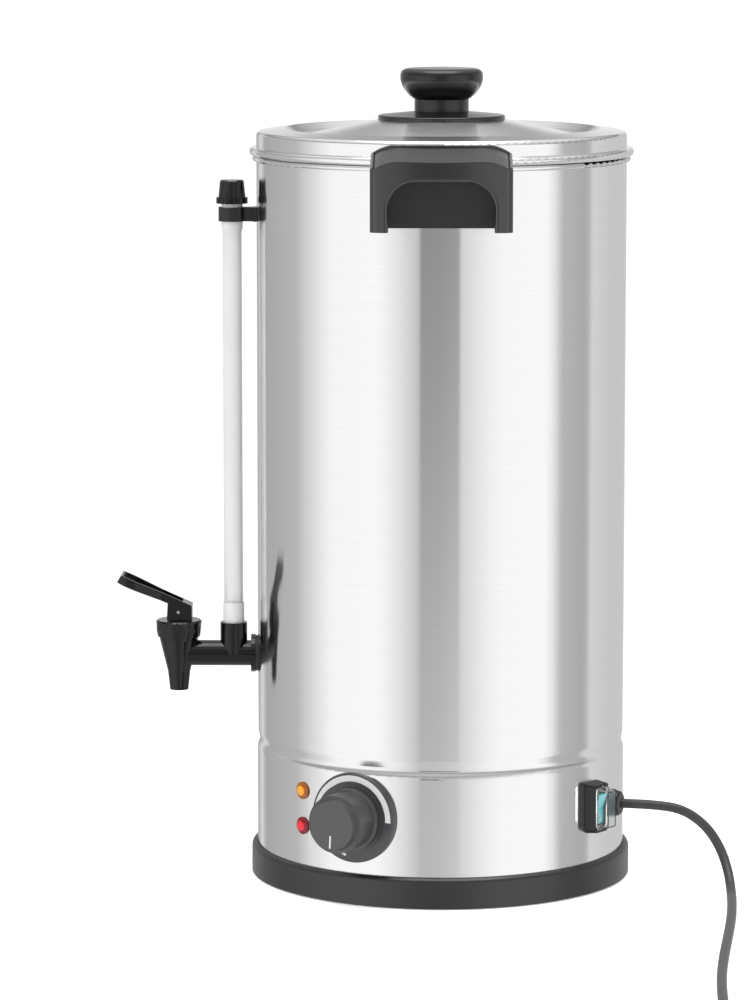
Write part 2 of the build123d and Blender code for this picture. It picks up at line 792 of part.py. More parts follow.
with BuildPart() as handle_rear:
    add(handle_front.part, rotation=(0, 0, 180))
write_node(handle_rear.part, "handle_rear")

screw_spots = [(-handle_screw_x, handle_screw_height), (handle_screw_x, handle_screw_height)]
with BuildPart() as front_washers:
    with BuildSketch(Plane.XZ.offset(handle_washer_plane)):
        with Locations(*screw_spots):
            Circle(handle_washer_radius)
            Circle(handle_screw_radius + seat_gap, mode=Mode.SUBTRACT)
    extrude(amount=shell_radius - handle_washer_plane)
    add(tank_inside, mode=Mode.INTERSECT)
with BuildPart() as handle_washers:
    add(front_washers.part)
    add(front_washers.part, rotation=(0, 0, 180))
write_node(handle_washers.part, "handle_washers")

with BuildPart() as front_screws:
    with BuildSketch(Plane.XZ.offset(handle_washer_plane - face_gap)):
        with Locations(*screw_spots):
            Circle(handle_head_radius)
    extrude(amount=-handle_head_height)
    with BuildSketch(Plane.XZ.offset(handle_washer_plane - face_gap)):
        with Locations(*screw_spots):
            Circle(handle_screw_radius)
    extrude(amount=handle_screw_length)
with BuildPart() as handle_screws:
    add(front_screws.part)
    add(front_screws.part, rotation=(0, 0, 180))
write_node(handle_screws.part, "handle_screws")

# ================================================================ heater
heater_top = floor_height - face_gap
heater_bottom = heater_top - heater_thickness
under_heater = heater_bottom - face_gap

with BuildPart() as heater_plate:
    with BuildSketch(Plane.XY.offset(heater_bottom)):
        Circle(heater_radius)
        with PolarLocations(stud_circle, stud_count, start_angle=stud_start):
            Circle(stud_radius + seat_gap, mode=Mode.SUBTRACT)
    extrude(amount=heater_thickness)
write_node(heater_plate.part, "heater_plate")

element_height = under_heater - element_radius
element_step = degrees(element_radius / element_circle)
element_ends = [
    (element_circle * cos(radians(angle)), element_circle * sin(radians(angle)))
    for angle in (element_step, element_span - element_step)]
with BuildPart() as heater_element:
    with BuildSketch(Plane.XZ):
        with Locations((element_circle, element_height)):
            Circle(element_radius)
    revolve(axis=Axis.Z, revolution_arc=element_span)
    with BuildSketch(Plane.XY.offset(element_height)):
        with Locations(*element_ends):
            Circle(element_radius)
    extrude(amount=-2 * element_radius)
    with BuildSketch(Plane.XY.offset(element_height - 2 * element_radius)):
        with Locations(*element_ends):
            Circle(terminal_radius)
    extrude(amount=-terminal_length)
write_node(heater_element.part, "heater_element")

with BuildPart() as heater_studs:
    with BuildSketch(Plane.XY.offset(heater_top)):
        with PolarLocations(stud_circle, stud_count, start_angle=stud_start):
            Circle(stud_radius)
    extrude(amount=-stud_length)
write_node(heater_studs.part, "heater_studs")

with BuildPart() as heater_nuts:
    with BuildSketch(Plane.XY.offset(under_heater)):
        with PolarLocations(stud_circle, stud_count, start_angle=stud_start):
            RegularPolygon(nut_across / 2, 6, major_radius=False)
            Circle(stud_radius + pivot_gap, mode=Mode.SUBTRACT)
    extrude(amount=-nut_height)
write_node(heater_nuts.part, "heater_nuts")

with BuildPart() as boil_dry_cutout:
    with BuildSketch(Plane.XY.offset(under_heater)):
        SlotOverall(cutout_ear, cutout_radius)
    extrude(amount=-clip_sheet)
    with BuildSketch(Plane.XY.offset(under_heater)):
        Circle(cutout_radius)
    extrude(amount=-cutout_height)
    with BuildSketch(Plane.XY.offset(under_heater - cutout_height)):
        with GridLocations(cutout_radius, 0, 2, 1):
            Rectangle(tab_thickness, tab_width)
    extrude(amount=-tab_length)
write_node(boil_dry_cutout.part, "boil_dry_cutout")

bulb_height = under_heater - bulb_radius
with BuildPart() as thermostat_bulb:
    with BuildSketch(Plane.XZ.offset(-bulb_length / 2)):
        with Locations((bulb_x, bulb_height)):
            Circle(bulb_radius)
    extrude(amount=bulb_length)
write_node(thermostat_bulb.part, "thermostat_bulb")

clip_bore = bulb_radius + face_gap
clip_radius = clip_bore + clip_sheet
with BuildPart() as bulb_clip:
    with BuildSketch(Plane.XZ.offset(-clip_width / 2)):
        with Locations((bulb_x, bulb_height)):
            Circle(clip_radius)
        with Locations((bulb_x, under_heater)):
            Rectangle(clip_span, clip_sheet, align=(Align.CENTER, Align.MAX))
            Rectangle(clip_span, 2 * clip_radius, align=(Align.CENTER, Align.MIN), mode=Mode.SUBTRACT)
            Rectangle(2 * clip_bore, bulb_radius, align=(Align.CENTER, Align.MAX), mode=Mode.SUBTRACT)
        with Locations((bulb_x, bulb_height)):
            Circle(clip_bore, mode=Mode.SUBTRACT)
    extrude(amount=clip_width)
write_node(bulb_clip.part, "bulb_clip")

# ================================================================ thermostat
bezel_plane = radial_plane(control_angle, bezel_face, control_height)
step_face = bezel_face + bezel_step
control_spots = [(0, control_screw_offset), (0, -control_screw_offset)]
with BuildPart() as thermostat_bezel:
    with BuildSketch(side_plane(bezel_plane)) as bezel_profile:
        with BuildLine():
            Polyline(
                (bush_radius + seat_gap, -trim_reach), (bezel_radius, -trim_reach), (bezel_radius, 0),
                (bezel_step_radius, 0), (bezel_step_radius, bezel_step),
                (bush_radius + seat_gap, bezel_step), close=True)
        make_face()
        fillet(bezel_profile.vertices().group_by(Axis.X)[-1].sort_by(Axis.Y)[-1], bezel_round)
    revolve(axis=plane_axis(bezel_plane))
    add(skirt_mask, mode=Mode.SUBTRACT)
    with BuildSketch(radial_plane(control_angle, step_face, control_height)):
        with Locations(*control_spots):
            Circle(control_screw_radius + seat_gap)
    extrude(amount=-trim_reach, mode=Mode.SUBTRACT)
    with BuildSketch(radial_plane(control_angle, step_face, control_height)):
        with Locations(*control_spots):
            Circle(control_head_radius + seat_gap)
    extrude(amount=-control_head_height - face_gap, mode=Mode.SUBTRACT)
write_node(thermostat_bezel.part, "thermostat_bezel")

box_plane = radial_plane(control_angle, control_box_face, control_height)
bush_plane = radial_plane(control_angle, control_box_face + bush_length, control_height)
screw_reach = step_face - control_head_height - control_box_face + control_screw_grip
with BuildPart() as thermostat_body:
    with BuildSketch(box_plane):
        Rectangle(control_box, control_box)
    extrude(amount=-control_box_depth)
    with BuildSketch(box_plane):
        Circle(bush_radius)
    extrude(amount=bush_length)
    with BuildSketch(bush_plane):
        Circle(spindle_radius + slide_gap)
    extrude(amount=-bush_length - control_bore_depth, mode=Mode.SUBTRACT)
    with BuildSketch(box_plane):
        with Locations(*control_spots):
            Circle(control_screw_radius + pivot_gap)
    extrude(amount=-control_bore_depth, mode=Mode.SUBTRACT)
write_node(thermostat_body.part, "thermostat_body")

with BuildPart() as thermostat_screws:
    with BuildSketch(radial_plane(control_angle, step_face, control_height)):
        with Locations(*control_spots):
            Circle(control_head_radius)
    extrude(amount=-control_head_height)
    with BuildSketch(radial_plane(control_angle, step_face - control_head_height, control_height)):
        with Locations(*control_spots):
            Circle(control_screw_radius)
    extrude(amount=-screw_reach)
write_node(thermostat_screws.part, "thermostat_screws")

dial_face = step_face + dial_gap
dial_plane = radial_plane(control_angle, dial_face, control_height)
with BuildPart() as thermostat_knob:
    with BuildSketch(side_plane(dial_plane)):
        with BuildLine():
            Polyline(
                (0, 0), (dial_base_radius, 0), (dial_base_radius, dial_skirt),
                (dial_waist_radius, dial_skirt + bevel), (dial_waist_radius, dial_shoulder),
                (dial_cap_radius + bevel, dial_shoulder + bevel), (dial_cap_radius, dial_height),
                (0, dial_height), close=True)
        make_face()
    revolve(axis=plane_axis(dial_plane))
    with BuildSketch(dial_plane):
        Circle(spindle_radius + pivot_gap)
    extrude(amount=spindle_depth, mode=Mode.SUBTRACT)
write_node(thermostat_knob.part, "thermostat_knob")

spindle_start = control_box_face - spindle_inside
with BuildPart() as thermostat_spindle:
    with BuildSketch(radial_plane(control_angle, spindle_start, control_height)):
        Circle(spindle_radius)
    extrude(amount=dial_face + spindle_depth - face_gap - spindle_start)
write_node(thermostat_spindle.part, "thermostat_spindle")

box_back = radial_plane(control_angle, control_box_face - control_box_depth, control_height).origin
lead_end = box_back + Vector(*capillary_lead)
bulb_end = -bulb_length / 2 - face_gap
capillary_route = [
    box_back, lead_end, *capillary_bends,
    (bulb_x, bulb_end - capillary_tail, bulb_height), (bulb_x, bulb_end, bulb_height)]
with BuildPart() as capillary_tube:
    with BuildLine() as capillary_path:
        FilletPolyline(*capillary_route, radius=capillary_bend)
    with BuildSketch(Plane(origin=capillary_path.line @ 0, z_dir=capillary_path.line % 0)):
        Circle(capillary_radius)
    sweep()
write_node(capillary_tube.part, "capillary_tube")

# ================================================================ pilot lamps
for lamp_name, lamp_height in zip(("heating_lamp", "power_lamp"), lamp_heights):
    lamp_plane = radial_plane(lamp_angle, skirt_radius, lamp_height)
    with BuildPart() as lamp:
        with BuildSketch(side_plane(lamp_plane)):
            with BuildLine():
                Polyline(
                    (0, lamp_rim + lamp_dome), (0, -lamp_rim), (lamp_radius, -lamp_rim),
                    (lamp_radius, lamp_rim))
                TangentArc((0, lamp_rim + lamp_dome), (lamp_radius, lamp_rim), tangent=(1, 0))
            make_face()
        revolve(axis=plane_axis(lamp_plane))
        add(skirt_mask, mode=Mode.SUBTRACT)
        with BuildSketch(lamp_plane):
            Circle(lamp_body_radius)
        extrude(amount=-lamp_body_length)
        with BuildSketch(lamp_plane):
            Circle(lamp_body_radius)
        extrude(amount=lamp_rim)
    write_node(lamp.part, lamp_name)

clip_face = skirt_radius - sheet - free_gap - lamp_clip_thickness
with BuildPart() as lamp_clips:
    for lamp_height in lamp_heights:
        with BuildSketch(radial_plane(lamp_angle, clip_face, lamp_height)):
            Circle(lamp_clip_radius)
            Circle(lamp_body_radius + face_gap, mode=Mode.SUBTRACT)
        extrude(amount=lamp_clip_thickness)
write_node(lamp_clips.part, "lamp_clips")

# ================================================================ switch
frame_plane = radial_plane(switch_angle, switch_frame_face, switch_height)
rocker_axis = radial_plane(switch_angle, switch_frame_face - rocker_axis_depth, switch_height)
rocker_side = Plane(origin=rocker_axis.origin, x_dir=rocker_axis.y_dir, z_dir=rocker_axis.x_dir)
trunnion_reach = rocker_width / 2 + trunnion_length
with BuildPart() as switch_frame:
    with BuildSketch(frame_plane):
        RectangleRounded(switch_frame_width, switch_frame_height, switch_frame_round)
    extrude(amount=-switch_stand - trim_reach, taper=-switch_frame_taper)
    add(skirt_mask, mode=Mode.SUBTRACT)
    with BuildSketch(frame_plane):
        Rectangle(switch_body_width, switch_body_height)
    extrude(amount=-switch_body_depth)
    with BuildSketch(frame_plane):
        Rectangle(rocker_width + 2 * rocker_gap, 2 * (rocker_radius + rocker_gap))
    extrude(amount=-rocker_recess, mode=Mode.SUBTRACT)
    with BuildSketch(rocker_side):
        Circle(trunnion_radius + pivot_gap)
    extrude(amount=trunnion_reach + free_gap, both=True, mode=Mode.SUBTRACT)
    with BuildSketch(radial_plane(switch_angle, switch_frame_face - switch_body_depth, switch_height)):
        with GridLocations(switch_tabs_across, switch_tabs_up, 2, 2):
            Rectangle(tab_thickness, tab_width)
    extrude(amount=-tab_length)
write_node(switch_frame.part, "switch_frame")

with BuildPart() as switch_rocker:
    with BuildSketch(rocker_side):
        with BuildLine():
            Polyline(
                (-rocker_half, -rocker_keel + bevel), (-rocker_half + bevel, -rocker_keel),
                (rocker_half - bevel, -rocker_keel), (rocker_half, -rocker_keel + bevel),
                (rocker_half, rocker_axis_depth), (0, rocker_axis_depth - rocker_dip),
                (-rocker_half, rocker_axis_depth), close=True)
        make_face()
    extrude(amount=rocker_width / 2, both=True)
    with BuildSketch(rocker_side):
        Circle(trunnion_radius)
    extrude(amount=trunnion_reach, both=True)
rocker_rest = switch_rocker.part.rotate(Axis(rocker_axis.origin, rocker_axis.x_dir), rocker_tilt)
write_node(rocker_rest, "switch_rocker")

cover_plane = radial_plane(switch_angle, switch_frame_face + face_gap, switch_height)
with BuildPart() as switch_cover:
    with BuildSketch(cover_plane):
        RectangleRounded(cover_width + 2 * cover_lip, cover_height + 2 * cover_lip, cover_round)
    extrude(amount=cover_rim)
    with BuildSketch(cover_plane):
        RectangleRounded(cover_width, cover_height, cover_round)
    extrude(amount=cover_bulge, taper=cover_taper)
    with BuildSketch(cover_plane):
        RectangleRounded(
            cover_width - 2 * cover_wall, cover_height - 2 * cover_wall, cover_round - cover_wall)
    extrude(amount=cover_bulge - cover_wall, taper=cover_taper, mode=Mode.SUBTRACT)
write_node(switch_cover.part, "switch_cover")

# ================================================================ cord entry
gland_plane = radial_plane(gland_angle, gland_face, gland_height)
nut_plane = radial_plane(gland_angle, gland_face + gland_flange + face_gap, gland_height)
gland_stub = gland_nut_length - gland_nut_round - end_gap
gland_bore_depth = gland_inside + gland_flange + gland_stub
with BuildPart() as gland_body:
    with BuildSketch(gland_plane):
        Circle(gland_flange_radius)
    extrude(amount=gland_flange)
    with BuildSketch(gland_plane):
        Circle(gland_thread_radius)
    extrude(amount=gland_flange + gland_stub)
    with BuildSketch(gland_plane):
        Circle(gland_thread_radius)
    extrude(amount=-gland_inside)
    with BuildSketch(radial_plane(gland_angle, gland_face - gland_inside, gland_height)):
        Circle(cord_bore)
    extrude(amount=gland_bore_depth, mode=Mode.SUBTRACT)
write_node(gland_body.part, "gland_body")

with BuildPart() as gland_nut:
    with BuildSketch(side_plane(nut_plane)) as nut_profile:
        with BuildLine():
            Polyline(
                (gland_thread_radius + pivot_gap, 0), (gland_nut_radius, 0),
                (gland_nut_radius, gland_nut_length), (cord_bore, gland_nut_length),
                (cord_bore, gland_stub + face_gap), (gland_thread_radius + pivot_gap, gland_stub + face_gap),
                close=True)
        make_face()
        fillet(nut_profile.vertices().group_by(Axis.X)[-1].sort_by(Axis.Y)[-1], gland_nut_round)
    revolve(axis=plane_axis(nut_plane))
    with BuildSketch(nut_plane):
        with PolarLocations(gland_nut_radius + gland_rib_depth, gland_rib_count):
            Circle(2 * gland_rib_depth)
    extrude(amount=gland_nut_length - gland_nut_round, mode=Mode.SUBTRACT)
write_node(gland_nut.part, "gland_nut")

with BuildPart() as gland_locknut:
    with BuildSketch(radial_plane(gland_angle, locknut_face, gland_height)):
        RegularPolygon(locknut_across / 2, 6, major_radius=False)
        Circle(gland_thread_radius + pivot_gap, mode=Mode.SUBTRACT)
    extrude(amount=-locknut_thickness)
write_node(gland_locknut.part, "gland_locknut")

block_bottom = plate_top + face_gap
with BuildPart() as terminal_block:
    with BuildSketch(Plane.XY.offset(block_bottom)):
        with PolarLocations(block_circle, 1, start_angle=gland_angle - 90):
            Rectangle(block_width, block_length)
    extrude(amount=block_height)
    with BuildSketch(Plane.XY.offset(block_bottom + block_height)):
        with PolarLocations(block_circle, 1, start_angle=gland_angle - 90):
            with GridLocations(0, block_length / block_wells, 1, block_wells):
                Circle(block_well)
    extrude(amount=-block_well_depth, mode=Mode.SUBTRACT)
write_node(terminal_block.part, "terminal_block")

with BuildPart() as earth_stud:
    with BuildSketch(Plane.XY.offset(block_bottom)):
        with PolarLocations(earth_circle, 1, start_angle=earth_angle - 90):
            Circle(stud_radius)
    extrude(amount=stud_length)
    with BuildSketch(Plane.XY.offset(block_bottom + nut_height)):
        with PolarLocations(earth_circle, 1, start_angle=earth_angle - 90):
            RegularPolygon(nut_across / 2, 6, major_radius=False)
            Circle(stud_radius + pivot_gap, mode=Mode.SUBTRACT)
    extrude(amount=nut_height)
write_node(earth_stud.part, "earth_stud")

# ================================================================ cord
cord_points = [Vector(*point) for point in cord_route]
cord_runs = [end - start for start, end in zip(cord_points, cord_points[1:])]
cord_radii = [
    0.45 * min(run.length, following.length) / tan(radians(run.get_angle(following)) / 2)
    for run, following in zip(cord_runs, cord_runs[1:])]
print("cord radii", [round(radius, 1) for radius in cord_radii])

with BuildPart() as power_cord:
    with BuildLine() as cord_path:
        FilletPolyline(*cord_points, radius=cord_radii)
    with BuildSketch(Plane(origin=cord_path.line @ 0, z_dir=cord_path.line % 0)):
        Circle(cord_radius)
    sweep()
cord_length = sum(edge.length for edge in cord_path.edges())
cord_volume = pi * cord_radius ** 2 * cord_length
print("cord length", round(cord_length, 1), "volume ratio", round(power_cord.part.volume / cord_volume, 4))
write_node(power_cord.part, "power_cord")

with BuildPart() as cord_coil:
    with BuildSketch(Plane.XY.offset(coil_lift)):
        with Locations((coil_x, coil_y)):
            Circle(coil_outer)
            Circle(coil_inner, mode=Mode.SUBTRACT)
    extrude(amount=coil_height - coil_lift)
    fillet(cord_coil.edges().filter_by(GeomType.CIRCLE), coil_round)
write_node(cord_coil.part, "cord_coil")

heading = radians(plug_heading)
pitch = radians(plug_pitch)
plug_plane = Plane(
    origin=plug_tail, x_dir=(-sin(heading), cos(heading), 0),
    z_dir=(cos(heading) * cos(pitch), sin(heading) * cos(pitch), sin(pitch)))
grip_start = plug_tail_length + plug_grip_radius - plug_tail_radius
grip_end = grip_start + plug_grip_length - 2 * bevel
plug_length = grip_end + plug_face_length
with BuildPart() as plug_body:
    with BuildSketch(side_plane(plug_plane)):
        with BuildLine():
            Polyline(
                (0, 0), (plug_tail_radius, 0), (plug_tail_radius + bevel, plug_tail_length),
                (plug_grip_radius, grip_start), (plug_grip_radius - bevel, grip_end),
                (plug_face_radius, grip_end + bevel), (plug_face_radius, plug_length),
                (0, plug_length), close=True)
        make_face()
    revolve(axis=plane_axis(plug_plane))
write_node(plug_body.part, "plug_body")

with BuildPart() as plug_pins:
    with BuildSketch(plug_plane.offset(plug_length + face_gap)):
        with GridLocations(pin_spacing, 0, 2, 1):
            Circle(pin_radius)
    extrude(amount=pin_length)
write_node(plug_pins.part, "plug_pins")

# ================================================================ tap
tap_side = Plane(origin=(tap_x, 0, 0), x_dir=(1, 0, 0), z_dir=(0, -1, 0))
tap_axis = Axis((tap_x, 0, 0), (0, 0, 1))
flange_front = -flange_back - flange_thickness
with BuildPart() as tap_body:
    with BuildSketch(tap_side):
        with BuildLine():
            Polyline(
                (0, nozzle_bottom), (nozzle_radius, nozzle_bottom), (tap_waist_radius, tap_waist_height),
                (tap_top_radius, tap_top - 2 * bevel), (tap_top_radius, tap_top), (neck_radius, tap_top),
                (neck_radius, neck_top), (0, neck_top), close=True)
        make_face()
    revolve(axis=tap_axis)
    # horizontal pipe, wall flange and threaded shank
    with BuildSketch(Plane.YZ.offset(tap_x)):
        with Locations((0, pipe_height)):
            Circle(pipe_radius)
    extrude(amount=-flange_back - tap_x)
    with BuildSketch(Plane.YZ.offset(flange_front)):
        with Locations((0, pipe_height)):
            Circle(flange_radius)
    extrude(amount=flange_thickness)
    with BuildSketch(Plane.YZ.offset(-flange_back)):
        with Locations((0, pipe_height)):
            Circle(shank_radius)
    extrude(amount=flange_back - shank_end)
    # socket for the sight gauge
    with BuildSketch(Plane.XY.offset(pipe_height)):
        with Locations((tee_x, 0)):
            Circle(tee_radius)
    extrude(amount=tee_top - pipe_height)
    # water ways
    with BuildSketch(Plane.XY.offset(neck_top)):
        with Locations((tap_x, 0)):
            Circle(chamber_radius)
    extrude(amount=-(neck_top - chamber_step), mode=Mode.SUBTRACT)
    with BuildSketch(Plane.XY.offset(neck_top)):
        with Locations((tap_x, 0)):
            Circle(seat_bore)
    extrude(amount=-(neck_top - chamber_floor), mode=Mode.SUBTRACT)
    with BuildSketch(Plane.XY.offset(neck_top)):
        with Locations((tap_x, 0)):
            Circle(nozzle_bore)
    extrude(amount=-(neck_top - nozzle_bottom), mode=Mode.SUBTRACT)
    with BuildSketch(Plane.YZ.offset(tap_x)):
        with Locations((0, pipe_height)):
            Circle(pipe_bore)
    extrude(amount=-shank_end - tap_x, mode=Mode.SUBTRACT)
    with BuildSketch(Plane.XY.offset(pipe_height)):
        with Locations((tee_x, 0)):
            Circle(tube_bore)
    extrude(amount=tee_top - pipe_height, mode=Mode.SUBTRACT)
    with BuildSketch(Plane.XY.offset(sleeve_floor)):
        with Locations((tee_x, 0)):
            Circle(sleeve_radius + seat_gap)
    extrude(amount=tee_top - sleeve_floor, mode=Mode.SUBTRACT)
write_node(tap_body.part, "tap_body")

with BuildPart() as tap_gasket:
    with BuildSketch(Plane.YZ.offset(-flange_back + face_gap)):
        with Locations((0, pipe_height)):
            Circle(tap_gasket_radius)
            Circle(shank_radius + seat_gap, mode=Mode.SUBTRACT)
    extrude(amount=trim_reach)
    add(shell_mask, mode=Mode.SUBTRACT)
write_node(tap_gasket.part, "tap_gasket")

with BuildPart() as tank_gasket:
    with BuildSketch(Plane.YZ.offset(-tap_nut_face - face_gap)):
        with Locations((0, pipe_height)):
            Circle(tap_gasket_radius)
            Circle(shank_radius + seat_gap, mode=Mode.SUBTRACT)
    extrude(amount=-trim_reach)
    add(tank_inside, mode=Mode.INTERSECT)
write_node(tank_gasket.part, "tank_gasket")

with BuildPart() as tap_locknut:
    with BuildSketch(Plane.YZ.offset(-tap_nut_face)):
        with Locations((0, pipe_height)):
            RegularPolygon(tap_nut_across / 2, 6, major_radius=False)
            Circle(shank_radius + pivot_gap, mode=Mode.SUBTRACT)
    extrude(amount=tap_nut_thickness)
write_node(tap_locknut.part, "tap_locknut")

roof_under = bonnet_top - bonnet_roof
bonnet_bore = neck_radius + pivot_gap
with BuildPart() as tap_bonnet:
    with BuildSketch(tap_side):
        with BuildLine():
            Polyline(
                (stem_radius + slide_gap, roof_under), (bonnet_bore, roof_under),
                (bonnet_bore, bonnet_bottom), (bonnet_low_radius, bonnet_bottom),
                (bonnet_top_radius, bonnet_top - bevel), (bonnet_top_radius - bevel, bonnet_top),
                (stem_radius + slide_gap, bonnet_top), close=True)
        make_face()
    revolve(axis=tap_axis)
    with BuildSketch(Plane.XY.offset(bonnet_bottom)):
        with Locations((tap_x, 0)):
            with PolarLocations(bonnet_top_radius + bonnet_flute_radius / 2, bonnet_flute_count):
                Circle(bonnet_flute_radius)
    extrude(amount=bonnet_top - bonnet_bottom, mode=Mode.SUBTRACT)
write_node(tap_bonnet.part, "tap_bonnet")

pin_height = bonnet_top + lever_pin_rise
with BuildPart() as tap_stem:
    with BuildSketch(Plane.XY.offset(stem_foot)):
        with Locations((tap_x, 0)):
            Circle(stem_flange_radius)
    extrude(amount=stem_flange)
    with BuildSketch(Plane.XY.offset(stem_foot)):
        with Locations((tap_x, 0)):
            Circle(stem_radius)
    extrude(amount=tongue_start - stem_foot)
    with BuildSketch(Plane.XY.offset(stem_foot)):
        with Locations((tap_x, 0)):
            Circle(stem_spigot)
    extrude(amount=-(stem_foot - chamber_floor - end_gap))
    with BuildSketch(Plane.XZ):
        with Locations((tap_x, tongue_start)):
            Rectangle(tongue_length, pin_height - tongue_start, align=(Align.CENTER, Align.MIN))
        with Locations((tap_x, pin_height)):
            Circle(tongue_length / 2)
            Circle(lever_pin_radius + pivot_gap, mode=Mode.SUBTRACT)
    extrude(amount=tongue_thickness / 2, both=True)
write_node(tap_stem.part, "tap_stem")

with BuildPart() as tap_seat:
    with BuildSketch(Plane.XY.offset(chamber_floor + seat_gap)):
        with Locations((tap_x, 0)):
            Circle(seat_radius)
    extrude(amount=stem_foot - face_gap - chamber_floor - seat_gap)
    with BuildSketch(Plane.XY.offset(chamber_floor + end_gap - face_gap)):
        with Locations((tap_x, 0)):
            Circle(stem_spigot + pivot_gap)
    extrude(amount=stem_foot - chamber_floor, mode=Mode.SUBTRACT)
write_node(tap_seat.part, "tap_seat")

spring_low = stem_foot + stem_flange + spring_wire + face_gap
spring_high = roof_under - spring_wire - face_gap
with BuildPart() as tap_spring:
    with BuildLine() as spring_path:
        Helix(
            pitch=(spring_high - spring_low) / spring_turns, height=spring_high - spring_low,
            radius=spring_radius, center=(tap_x, 0, spring_low))
    with BuildSketch(Plane(origin=spring_path.line @ 0, z_dir=spring_path.line % 0)):
        Circle(spring_wire)
    sweep()
write_node(tap_spring.part, "tap_spring")

cam_rest = lever_pin_rise - cam_clear


def cam_point(angle):
    """Cam outline's point, from the pin, that bears on the bonnet at a lever angle."""
    turn = radians(angle)
    reach = cam_rest + cam_lift * turn
    return (tap_x - reach * sin(turn) - cam_lift * cos(turn),
            pin_height - reach * cos(turn) + cam_lift * sin(turn))


def from_pin(point):
    """Side-view point of the lever, given from its pin."""
    return (tap_x + point[0], pin_height + point[1])


lever_reach = -lever_tip_low[0] + over
lever_end = tap_x + lever_heel + over
lever_flare = [tap_x + distance for distance in lever_widening]
lever_plan = [
    (lever_end, -lever_width / 2), (lever_end, lever_width / 2), (lever_flare[0], lever_width / 2),
    (lever_flare[1], lever_tip_width / 2), (tap_x - lever_reach, lever_tip_width / 2),
    (tap_x - lever_reach, -lever_tip_width / 2), (lever_flare[1], -lever_tip_width / 2),
    (lever_flare[0], -lever_width / 2)]
lever_rise = (lever_tip_high[1] - lever_heel_height) / (lever_tip_high[0] - lever_heel)


def lever_top(distance, depth):
    """Side-view point below the lever's top face, at a distance from the pin."""
    return from_pin((distance, lever_heel_height + (distance - lever_heel) * lever_rise - depth))


dish_tip = lever_tip_high[0] + lever_rim
with BuildPart() as lever_dish:
    with BuildSketch(Plane.XZ):
        with BuildLine():
            Polyline(
                lever_top(lever_hollow_end, lever_hollow), lever_top(lever_hollow_end, -lever_hollow),
                lever_top(dish_tip, -lever_hollow), lever_top(dish_tip, lever_hollow), close=True)
        make_face()
    extrude(amount=lever_tip_width / 2, both=True)
    with BuildSketch(Plane.XY.offset(pin_height - lever_heel)) as dish_outline:
        Polygon(*lever_plan, align=None)
        fillet(dish_outline.vertices().group_by(Axis.X)[0], lever_tip_round)
        offset(amount=-lever_rim, mode=Mode.REPLACE)
    extrude(amount=lever_heel + lever_reach, mode=Mode.INTERSECT)

with BuildPart() as tap_lever:
    with BuildSketch(Plane.XZ):
        with BuildLine():
            Polyline(
                cam_point(0), from_pin((lever_heel, -cam_rest)), from_pin((lever_heel, lever_heel_height)),
                from_pin(lever_tip_high), from_pin(lever_tip_low), from_pin(lever_root),
                cam_point(lever_travel))
            ThreePointArc(cam_point(lever_travel), cam_point(lever_travel / 2), cam_point(0))
        make_face()
    extrude(amount=lever_tip_width / 2, both=True)
    with BuildSketch(Plane.XY.offset(pin_height - lever_heel)) as outline:
        Polygon(*lever_plan, align=None)
        fillet(outline.vertices().group_by(Axis.X)[0], lever_tip_round)
    extrude(amount=lever_heel + lever_reach, mode=Mode.INTERSECT)
    add(lever_dish.part, mode=Mode.SUBTRACT)
    with BuildSketch(Plane.XY.offset(pin_height - lever_heel)):
        with Locations((tap_x, 0)):
            Rectangle(lever_slot_length, tongue_thickness + 2 * slide_gap)
    extrude(amount=lever_heel + lever_slot_rise, mode=Mode.SUBTRACT)
    with BuildSketch(Plane.XZ):
        with Locations((tap_x, pin_height)):
            Circle(lever_pin_radius + pivot_gap)
    extrude(amount=lever_tip_width, both=True, mode=Mode.SUBTRACT)
write_node(tap_lever.part, "tap_lever")

with BuildPart() as lever_pin:
    with BuildSketch(Plane.XZ):
        with Locations((tap_x, pin_height)):
            Circle(lever_pin_radius)
    extrude(amount=lever_width / 2, both=True)
write_node(lever_pin.part, "lever_pin")

# ================================================================ sight gauge
tube_bottom = sleeve_floor + face_gap
gauge_spot = (tee_x, 0)
with BuildPart() as gauge_tube:
    with BuildSketch(Plane.XY.offset(tube_bottom)):
        with Locations(gauge_spot):
            Circle(tube_radius)
            Circle(tube_bore, mode=Mode.SUBTRACT)
    extrude(amount=tube_top - tube_bottom)
write_node(gauge_tube.part, "gauge_tube")

sleeve_spans = {
    "gauge_lower_sleeve": (tube_bottom, lower_sleeve_top),
    "gauge_upper_sleeve": (upper_sleeve_bottom, upper_sleeve_top)}
for sleeve_name, (sleeve_low, sleeve_high) in sleeve_spans.items():
    with BuildPart() as sleeve:
        with BuildSketch(Plane.XY.offset(sleeve_low)):
            with Locations(gauge_spot):
                Circle(sleeve_radius)
                Circle(tube_radius + sleeve_gap, mode=Mode.SUBTRACT)
        extrude(amount=sleeve_high - sleeve_low)
    write_node(sleeve.part, sleeve_name)

